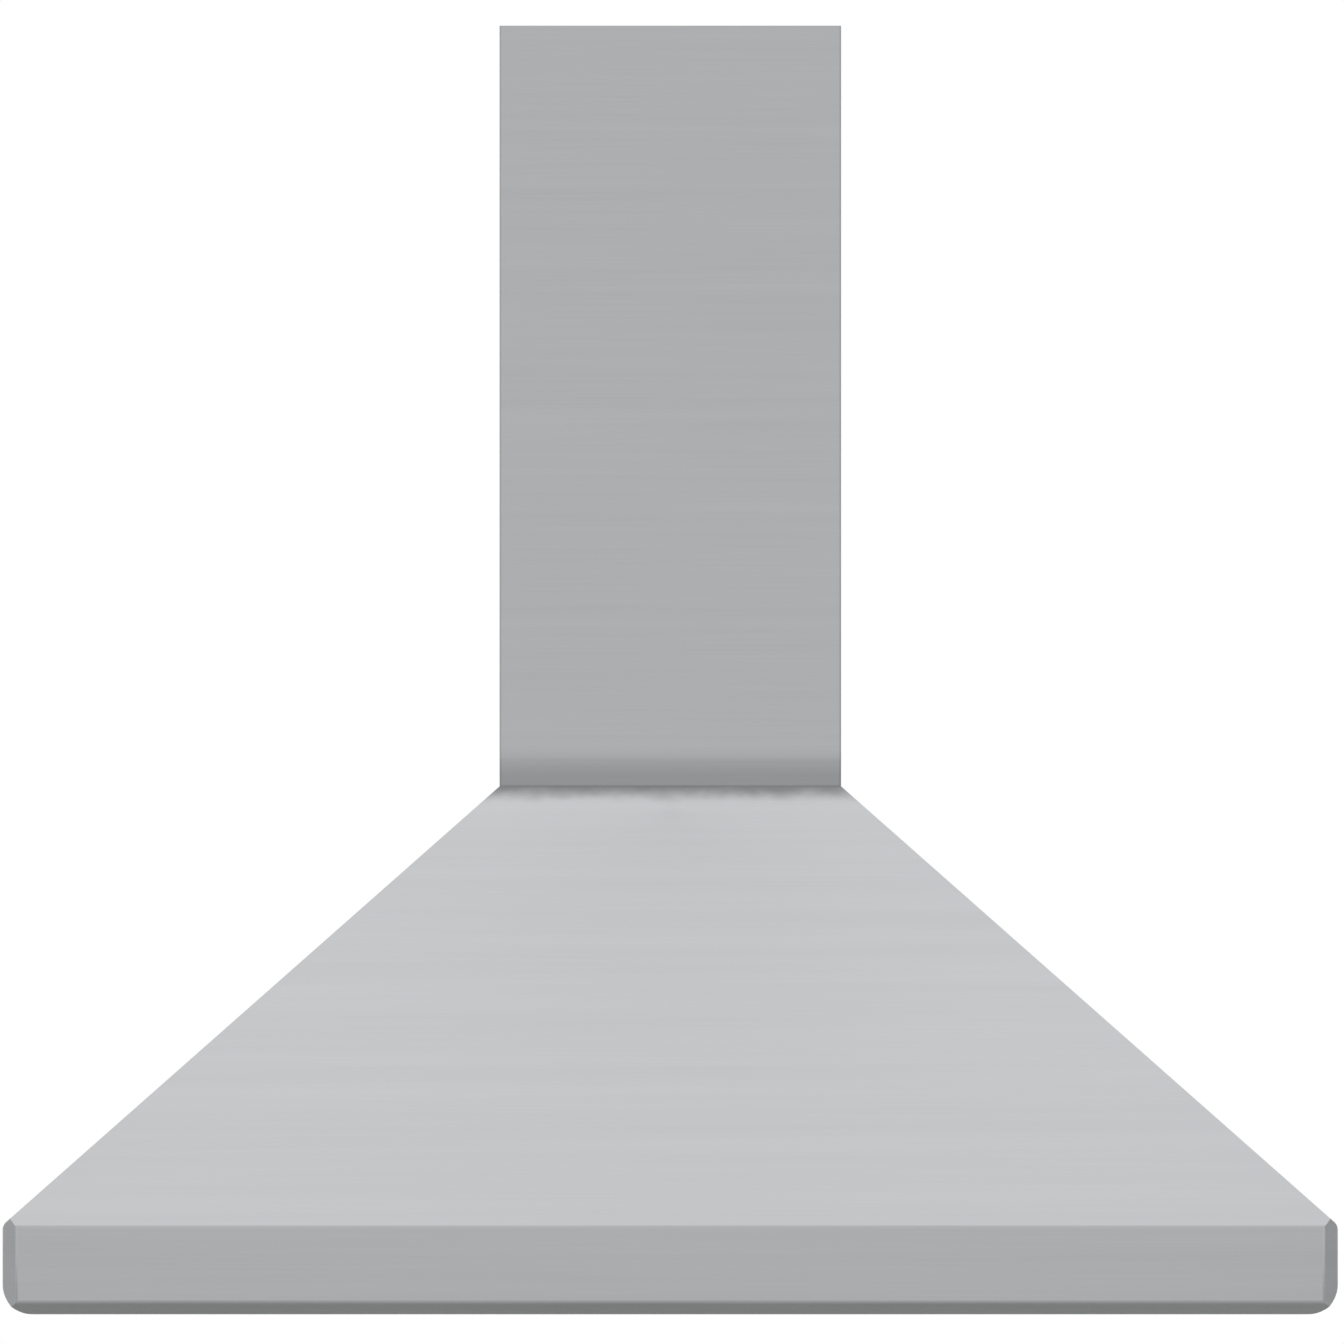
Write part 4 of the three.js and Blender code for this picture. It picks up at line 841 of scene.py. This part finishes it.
bezel_sides = (-bezel_half, bezel_half, lamp_y - bezel_depth, lamp_y + bezel_depth)
bezel = eased(block(*bezel_sides, bezel_face, panel_underside), 0.9)
for x in button_xs:
    dish = turned(finger_dish, 40, (x, lamp_y, bezel_face))
    bezel = cut(bezel, drill(button_well, 9, 40, (x, lamp_y, 23)), dish)
dress(bezel, "button_bezel", black_abs, "root", "control_bezel")
leg_front, leg_back = lamp_y - leg_depth, lamp_y + leg_depth
legs = [eased(block(x0, x1, leg_front, leg_back, 23.8, 27.4), 0.4) for x0, x1 in leg_sides]
dress(gathered(*legs), "bezel_legs", black_abs, "root")

button_profile = [(0, 0.9), (3, 0.75), (5, 0.3), (5.6, 0), (6.4, 0.15), (6.9, 0.7)]
button_profile += [(7, 1.3), (7, 6.4), (8.9, 6.4), (8.9, 8), (0, 8)]
for number, x in enumerate(button_xs, 1):
    body = f"button_{number}"
    button = turned(button_profile, button_sides, (x, lamp_y, button_face))
    dress(button, f"push_button_{number}", polished_steel, body, body, smooth_angle=35)
# Solder mask over copper: a green varnish, mottled by the tracks under it.
solder_mask = moulded("green_solder_mask", "23633F", "1A4F30", 0.004, 0.35)
finish_solids(solder_mask, "control_board")

# ------------ blower
# A centrifugal blower: a galvanised scroll whose sides are tabbed to its wrap, a wheel of
# pressed blades on a ground shaft, and an enamelled motor that three arms hold in the inlet.

wheel_x = -94.235
wheel_y = 160
wheel_z = 285
wheel_half = 86
blade_count = 48
blade_root = 99.4
blade_bend = (93, 0, 12)
blade_arc = math.radians(82)
blade_sheet = 0.7
scroll_front = 65
scroll_back = 255
scroll_start = 110
scroll_end = 160
scroll_angle = math.radians(75)
scroll_steps = 72
scroll_top = 473.8
tab_half = 6
tab_reach = 4.5
tab_pitch = 8
tongue_x = wheel_x + scroll_start * math.cos(scroll_angle)
throat_x = wheel_x + scroll_end
inlet_throat = 84
inlet_bell = 16
inlet_rim = 114
inlet_steps = 12


def scroll_line(grow):
    """The scroll's wall in front view, which moves steadily away from the wheel."""
    x, start = tongue_x - grow, scroll_start + grow
    line = [(x, scroll_top), (x, wheel_z + math.sqrt(start**2 - (x - wheel_x) ** 2))]
    for step in range(1, scroll_steps + 1):
        share = step / scroll_steps
        angle = scroll_angle + share * (math.tau - scroll_angle)
        radius = start + share * (scroll_end - scroll_start)
        line.append((wheel_x + radius * math.cos(angle), wheel_z + radius * math.sin(angle)))
    return line + [(throat_x + grow, scroll_top)]


side_outline = scroll_line(1)
scroll_wrap = prism("Y", scroll_front, scroll_back, side_outline + scroll_line(0)[::-1])
dress(scroll_wrap, "scroll_band", zinc, "root", "scroll_wrap")
mouth_radius = inlet_throat + inlet_bell + 0.6
for name, y, tab_y in (("front", scroll_front - 1, -0.8), ("back", scroll_back, 0.8)):
    plate = prism("Y", y, y + 1, side_outline)
    mouth = drill(mouth_radius, 9, 96, (wheel_x, y, wheel_z), "Y")
    parts = [cut(plate, mouth)]
    ends = zip(side_outline[6:-2:tab_pitch], side_outline[7:-1:tab_pitch])
    for (x0, z0), (x1, z1) in ends:
        tab = eased(block(-tab_half, tab_half, tab_y, tab_y + 1, -tab_reach, -0.5), 0.3, 2)
        rotated(tab, "Y", math.degrees(math.atan2(x0 - wheel_x, z0 - wheel_z)))
        parts.append(moved(tab, ((x0 + x1) / 2, y, (z0 + z1) / 2)))
    dress(gathered(*parts), f"scroll_plate_{name}", zinc, "root", f"scroll_side_{name}")

for name, y, way in (("front", scroll_front - 1, 1), ("back", scroll_back + 1, -1)):
    outer, inner = [], []
    for step in range(inlet_steps + 1):
        angle = step / inlet_steps * math.pi / 2
        radius = inlet_throat + inlet_bell * (1 - math.sin(angle))
        along = inlet_bell / 2 * (1 - math.cos(angle))
        outer.append((radius, way * (along - 1)))
        inner.append((radius + math.sin(angle), way * along))
    flange = [(inlet_rim, 0), (inlet_rim, -way)]
    ring = turned(outer + inner[::-1] + flange, 96, (wheel_x, y, wheel_z), "Y")
    dress(ring, f"inlet_bell_{name}", zinc, "root", f"inlet_ring_{name}")


def curved_blade():
    """One blade, bent forwards, from the wheel's inner to its outer radius."""
    bm = bmesh.new()
    tip = bm.verts.new((blade_root, -wheel_half + 1, 0))
    bmesh.ops.spin(
        bm,
        geom=[tip],
        cent=blade_bend,
        axis=(0, 1, 0),
        angle=blade_arc,
        steps=6,
        use_merge=False,
    )
    along = bmesh.ops.extrude_edge_only(bm, edges=bm.edges[:])
    moved(bm, (0, 2 * wheel_half - 2, 0), along)
    bmesh.ops.recalc_face_normals(bm, faces=bm.faces)
    return thickened(bm, blade_sheet)


blades = curved_blade()
bmesh.ops.spin(
    blades,
    geom=blades.verts[:] + blades.edges[:] + blades.faces[:],
    cent=(0, 0, 0),
    axis=(0, 1, 0),
    angle=math.tau * (blade_count - 1) / blade_count,
    steps=blade_count - 1,
    use_duplicate=True,
    use_merge=False,
)
end_ring = [(86, 0), (100, 0), (100, 3), (98.6, 3), (98.6, 1.2), (86, 1.2)]
hub_disc = [(4.3, 18), (14, 18), (14, 30), (52, 30), (58, 27), (91, 27), (91, 28.4)]
hub_disc += [(58.6, 28.4), (52.6, 31.4), (14, 31.4), (14, 42), (4.3, 42)]
end_rings = [
    turned([(r, way * (wheel_half - y)) for r, y in end_ring], 96, axis="Y") for way in (-1, 1)
]
wheel = gathered(blades, *end_rings, turned(hub_disc, 64, axis="Y"))
dress(moved(wheel, (wheel_x, wheel_y, wheel_z)), "blower_wheel", zinc, "impeller", "impeller")
finish_solids(polished_steel, "motor_shaft")

motor_back = 166
motor_vents = 12
motor_profile = [(0, -115), (40, -115), (44, -113), (51, -113), (54.5, -111.5), (56, -108)]
motor_profile += [(56, -84), (54.6, -82.6), (54.6, -40), (56, -38.6), (56, -12), (53.5, -7)]
motor_profile += [(46, -5), (15, -5), (11, -3), (9, 0), (4.3, 0), (4.3, -38), (0, -38)]
vent_turns = [360 / motor_vents * n for n in range(motor_vents)]
vents = [rotated(block(-2, 2, -120, -104, 22, 38), "Y", turn) for turn in vent_turns]
motor = cut(turned(motor_profile, 64, axis="Y"), gathered(*vents))
# Baked satin enamel: a dark grey with the faint orange peel of a sprayed coat.
satin_enamel = moulded("satin_motor_enamel", "414448", "36393C", 0.0012, 0.5)
moved(motor, (wheel_x, motor_back, wheel_z))
dress(motor, "motor_can", satin_enamel, "root", "motor_body")

arm_count = 3
arm_front = 58.7
arm_back = 62.7
arm_half = 8
ring_inner = 56.3
ring_outer = ring_inner + 4
foot_start = 114.3
foot_end = 130
arms = []
arm_screws = []
for turn in range(arm_count):
    arm = block(ring_inner + 2, foot_end, arm_front, arm_back, -arm_half, arm_half)
    arm_foot = block(foot_start, foot_end, arm_front, scroll_front - 1, -arm_half, arm_half)
    arm = combined(arm, arm_foot, "UNION")
    screw = rotated(pan_screw(3.6), "X", 90)
    moved(screw, ((foot_start + foot_end) / 2, arm_front, 0))
    for bm, group in ((eased(arm, 1.2), arms), (screw, arm_screws)):
        rotated(bm, "Y", 30 + 360 / arm_count * turn)
        group.append(moved(bm, (wheel_x, 0, wheel_z)))
ring_profile = [(ring_inner, 0), (ring_outer, 0), (ring_outer, 4), (ring_inner, 4)]
motor_bracket = eased(turned(ring_profile, 96, (wheel_x, arm_front, wheel_z), "Y"), 0.6, 2)
for arm in arms:
    motor_bracket = combined(motor_bracket, arm, "UNION")
dress(motor_bracket, "motor_spider", zinc, "root", "motor_bracket")
dress(gathered(*arm_screws), "motor_screws", plated_steel, "root")

# ------------ outlet
# A spun collar takes the duct, screwed to the top plate. Two aluminium flaps on a steel pin
# lift in the draught and fall shut on the collar's rolled ledge.

duct_y = 160
flap_pin_z = 504.8
collar_flange = 1.2
collar_screw_radius = 105.6
collar_screw_count = 6
collar_outside = [(97.8, 0), (109, 0), (111, 0.4), (111, collar_flange), (100.6, collar_flange)]
collar_outside += [(99, 2.6), (99, 49), (99.6, 50), (101.4, 51.5), (101.4, 53.5), (99.6, 55)]
collar_outside += [(99, 56), (99, 69.4), (98.4, 70), (97.8, 69.4)]
collar_inside = [(97.8, 56), (98.4, 54.6), (100.2, 53), (100.2, 52), (98.4, 50.4), (97.8, 49)]
collar_ledge = [(97.8, 26), (94.4, 26), (93.8, 25.4), (93.8, 24.8), (97.8, 22.8)]

collar = turned(collar_outside + collar_inside + collar_ledge, 96, (0, duct_y, canopy_height))
pin_hole = drill(2.4, 120, 24, (0, duct_y, flap_pin_z), "Y")
dress(cut(collar, pin_hole), "duct_spigot", zinc, "root", "duct_collar")
# Rolled aluminium as it leaves the mill: pale, with soft dull patches 30 mm wide.
mill_aluminium = crystal_metal("mill_aluminium", "BFC2C4", "B8BBBE", 30, 0.34)
finish_solids(mill_aluminium, "flap_left", "flap_right")
finish_solids(polished_steel, "flap_pin")

places = []
for n in range(collar_screw_count):
    angle = math.tau * (n + 0.5) / collar_screw_count
    x, y = collar_screw_radius * math.cos(angle), duct_y + collar_screw_radius * math.sin(angle)
    places.append((x, y, canopy_height + collar_flange))
collar_screws = copied_to(pan_screw(3.4), places)
dress(collar_screws, "collar_screws", plated_steel, "root")

# ------------ wiring
# The mains enters through a moulded gland in the top plate. The motor's rubber lead runs along
# the scroll to a folded steel junction box, and the run capacitor is strapped beside it.

box_left, box_right = 105.77, 225.77
box_front, box_back = 261.8, 303.8
box_bottom, box_top = 318.56, 398.56
box_sheet = 1.2
lid_end = 270.3
lid_gap = 0.3
lid_screw_inset = 10
knockout_offset = 18
lead_height = (box_bottom + box_top) / 2
lead_radius = 3.5
entry_y = (box_front + box_back) / 2


def box_block(grow, front, back):
    """A block as wide and as tall as the junction box, grown by so much all round."""
    sides = (box_left - grow, box_right + grow)
    return block(*sides, front, back, box_bottom - grow, box_top + grow)


hollow = box_block(-box_sheet, box_front - 5, box_back - box_sheet)
entry = drill(3.8, 4, 24, (box_left, entry_y, lead_height), "X")
knockout = [(8.8, -0.3), (9.4, -0.3), (9.4, 1), (8.8, 1)]
heights = (lead_height - knockout_offset, lead_height + knockout_offset)
knockouts = [turned(knockout, 40, (box_right, entry_y + 4, height), "X") for height in heights]
junction_tray = eased(box_block(0, box_front, box_back), 1)
junction_tray = cut(junction_tray, gathered(hollow, entry, *knockouts))
dress(junction_tray, "junction_tray", zinc, "root", "junction_box")

lid_front = box_front - box_sheet
lid = eased(box_block(box_sheet + lid_gap, lid_front, lid_end), 1)
lid = cut(lid, box_block(lid_gap, box_front, lid_end + 5))
dress(lid, "junction_lid", zinc, "root", "junction_cover")
places = [
    (x, lid_front, z)
    for x in (box_left + lid_screw_inset, box_right - lid_screw_inset)
    for z in (box_bottom + lid_screw_inset, box_top - lid_screw_inset)
]
lid_screws = copied_to(rotated(pan_screw(2.8), "X", 90), places)
dress(lid_screws, "lid_screws", plated_steel, "root")

gland_place = (138, 271, scroll_top)
gland_base = [(4, 1.2), (12.6, 1.2), (12.6, 5.5), (11.8, 6.2), (4, 6.2)]
gland_nut = [(4, 6), (11.6, 6), (12.2, 7), (12.2, 11.5), (8.6, 17.4), (7.4, 18.6), (6, 19), (4, 19)]
gland_thread = [(4, -8)]
for turn in range(6):
    gland_thread += [(7.9, -7.6 + turn * 1.4), (7.3, -6.9 + turn * 1.4)]
gland_thread += [(7.9, 1.3), (4, 1.3)]
gland_parts = ((gland_base, 6), (gland_nut, 12), (gland_thread, 32))
gland = [turned(profile, sides, gland_place) for profile, sides in gland_parts]
dress(gathered(*gland), "gland_nut", black_abs, "root", "cable_gland")

capacitor_x = 88.27
capacitor_z = 421.3
capacitor_place = (capacitor_x, 125, capacitor_z)
strap_foot = 8.75
terminal_half = 3.1
can_profile = [(0, 0.6), (14.5, 0.6), (15, 0), (16.6, 0), (17.5, 1.2), (17.5, 4), (16.7, 5)]
can_profile += [(16.7, 6.2), (17.5, 7.2), (17.5, 68), (16, 69.8), (0, 70)]
strap_profile = [(17.4, 23.4), (18.2, 23.4), (18.2, 46.6), (17.4, 46.6)]
foot = block(66.8, 72.5, 148.4, 171.6, capacitor_z - strap_foot, capacitor_z + strap_foot)
rounds = [turned(profile, 48, capacitor_place, "Y") for profile in (can_profile, strap_profile)]
capacitor = gathered(*rounds, eased(foot, 0.8, 2))
dress(capacitor, "run_capacitor", mill_aluminium, "root", "capacitor")
low, high = capacitor_z - terminal_half, capacitor_z + terminal_half
tab_xs = (capacitor_x - 6, capacitor_x + 6)
terminals = [eased(block(x - 0.4, x + 0.4, 117, 126, low, high), 0.3, 2) for x in tab_xs]
dress(gathered(*terminals), "capacitor_terminals", plated_steel, "root")

# Chloroprene sheath: a soft black, barely glossy, with a fine bloom.
cable_rubber = moulded("cable_rubber", "1D1E1F", "151617", 0.0009, 0.6)
lead_start_z = wheel_z + 28
lead_run_y = 42.5
lead_turn_x = 70.57
lead_path = [(wheel_x, 50.7, lead_start_z), (wheel_x, lead_run_y, lead_start_z)]
lead_path += [(lead_turn_x, lead_run_y, lead_height), (lead_turn_x, entry_y, lead_height)]
lead_path += [(box_left + 2.4, entry_y, lead_height)]
lead = bent_rod(lead_path, (8, 10.5, 10.5), lead_radius)
dress(lead, "motor_cable", cable_rubber, "root", "motor_lead")
finish_solids(zinc, "lead_clip")

# ------------ studio
# A pale floor, a wide soft lamp overhead, a weaker one at the front, and three grey cards, at
# each side and below, that only the metal sees. The camera stands 6 m in front with a long
# lens, just below the middle.


def stage_sheet(name, size, place, turn, colour, cover):
    """A sheet of matt paper, seen from its face only; cover is how much of the sky it hides."""
    bm = bmesh.new()
    bmesh.ops.create_grid(bm, x_segments=1, y_segments=1, size=500)
    bmesh.ops.scale(bm, vec=(*size, 1), verts=bm.verts)
    rotated(bm, "Y", turn)
    sheet = as_object(moved(bm, Vector(place) * 1000), name)
    material = new_material(name)
    paper = add(material, "BsdfDiffuse", {"Color": linear(colour)})
    clear = add(material, "BsdfTransparent")
    back = add(material, "NewGeometry").outputs["Backfacing"]
    gone = add(material, "Math", {0: back, 1: 1 - cover}, operation="MAXIMUM")
    seen = add(material, "MixShader", {0: gone, 1: paper, 2: clear})
    add(material, "OutputMaterial", {"Surface": seen})
    sheet.data.materials.append(material)
    return sheet


stage_sheet("floor", (24, 24), (0, 0, -1.65), 0, "F0F0EE", 1)
for name, size, place, turn, colour, cover in (
    ("card_right", (6, 3.6), (3, -0.2, 1.2), -90, "C0C0C0", 0.5),
    ("card_left", (6, 3.6), (-3, -0.2, 1.2), 90, "C8C8C8", 0.34),
    ("card_below", (2.6, 1.8), (0, -0.1, -0.9), 0, "A4A6A4", 0.57),
):
    card = stage_sheet(name, size, place, turn, colour, cover)
    card.visible_camera = card.visible_diffuse = card.visible_shadow = False


def soft_lamp(name, size, place, aim, power):
    """A rectangular soft box that points at a place."""
    light = bpy.data.lights.new(name, "AREA")
    light.shape = "RECTANGLE"
    light.size, light.size_y = size
    light.energy = power
    lamp = bpy.data.objects.new(name, light)
    lamp.location = place
    lamp.rotation_euler = (Vector(aim) - Vector(place)).to_track_quat("-Z", "Y").to_euler()
    lamp.visible_camera = False
    bpy.context.scene.collection.objects.link(lamp)


soft_lamp("overhead_box", (4, 3), (0, -1.4, 4.6), (0, 0, 0.4), 18)
soft_lamp("front_box", (4, 1.5), (0, -7, -0.6), (0, 0, 0.3), 5)

world = bpy.data.worlds.new("studio")
bpy.context.scene.world = world
world.use_nodes = True
world.node_tree.nodes.clear()
# A white sky, at full strength where it is seen or mirrored and a little less as light.
rays = add(world, "LightPath").outputs
seen = rays["Is Camera Ray"]
for kind in ("Is Glossy Ray", "Is Transmission Ray"):
    seen = add(world, "Math", {0: seen, 1: rays[kind]}, operation="MAXIMUM").outputs[0]
strength = add(world, "MapRange", {"Value": seen, "To Min": 0.8, "To Max": 1})
sky = add(world, "Background", {"Color": (1, 1, 1, 1), "Strength": strength})
add(world, "OutputWorld", {"Surface": sky})

lens = bpy.data.cameras.new("camera")
lens.sensor_width = 36
lens.lens = 166.6
lens.clip_end = 60
camera = bpy.data.objects.new("camera", lens)
camera.location = (0.0016, -5.953, 0.5848)
camera.rotation_euler = (math.radians(90), 0, 0)
bpy.context.scene.collection.objects.link(camera)
bpy.context.scene.camera = camera
bpy.context.scene.view_settings.view_transform = "Standard"
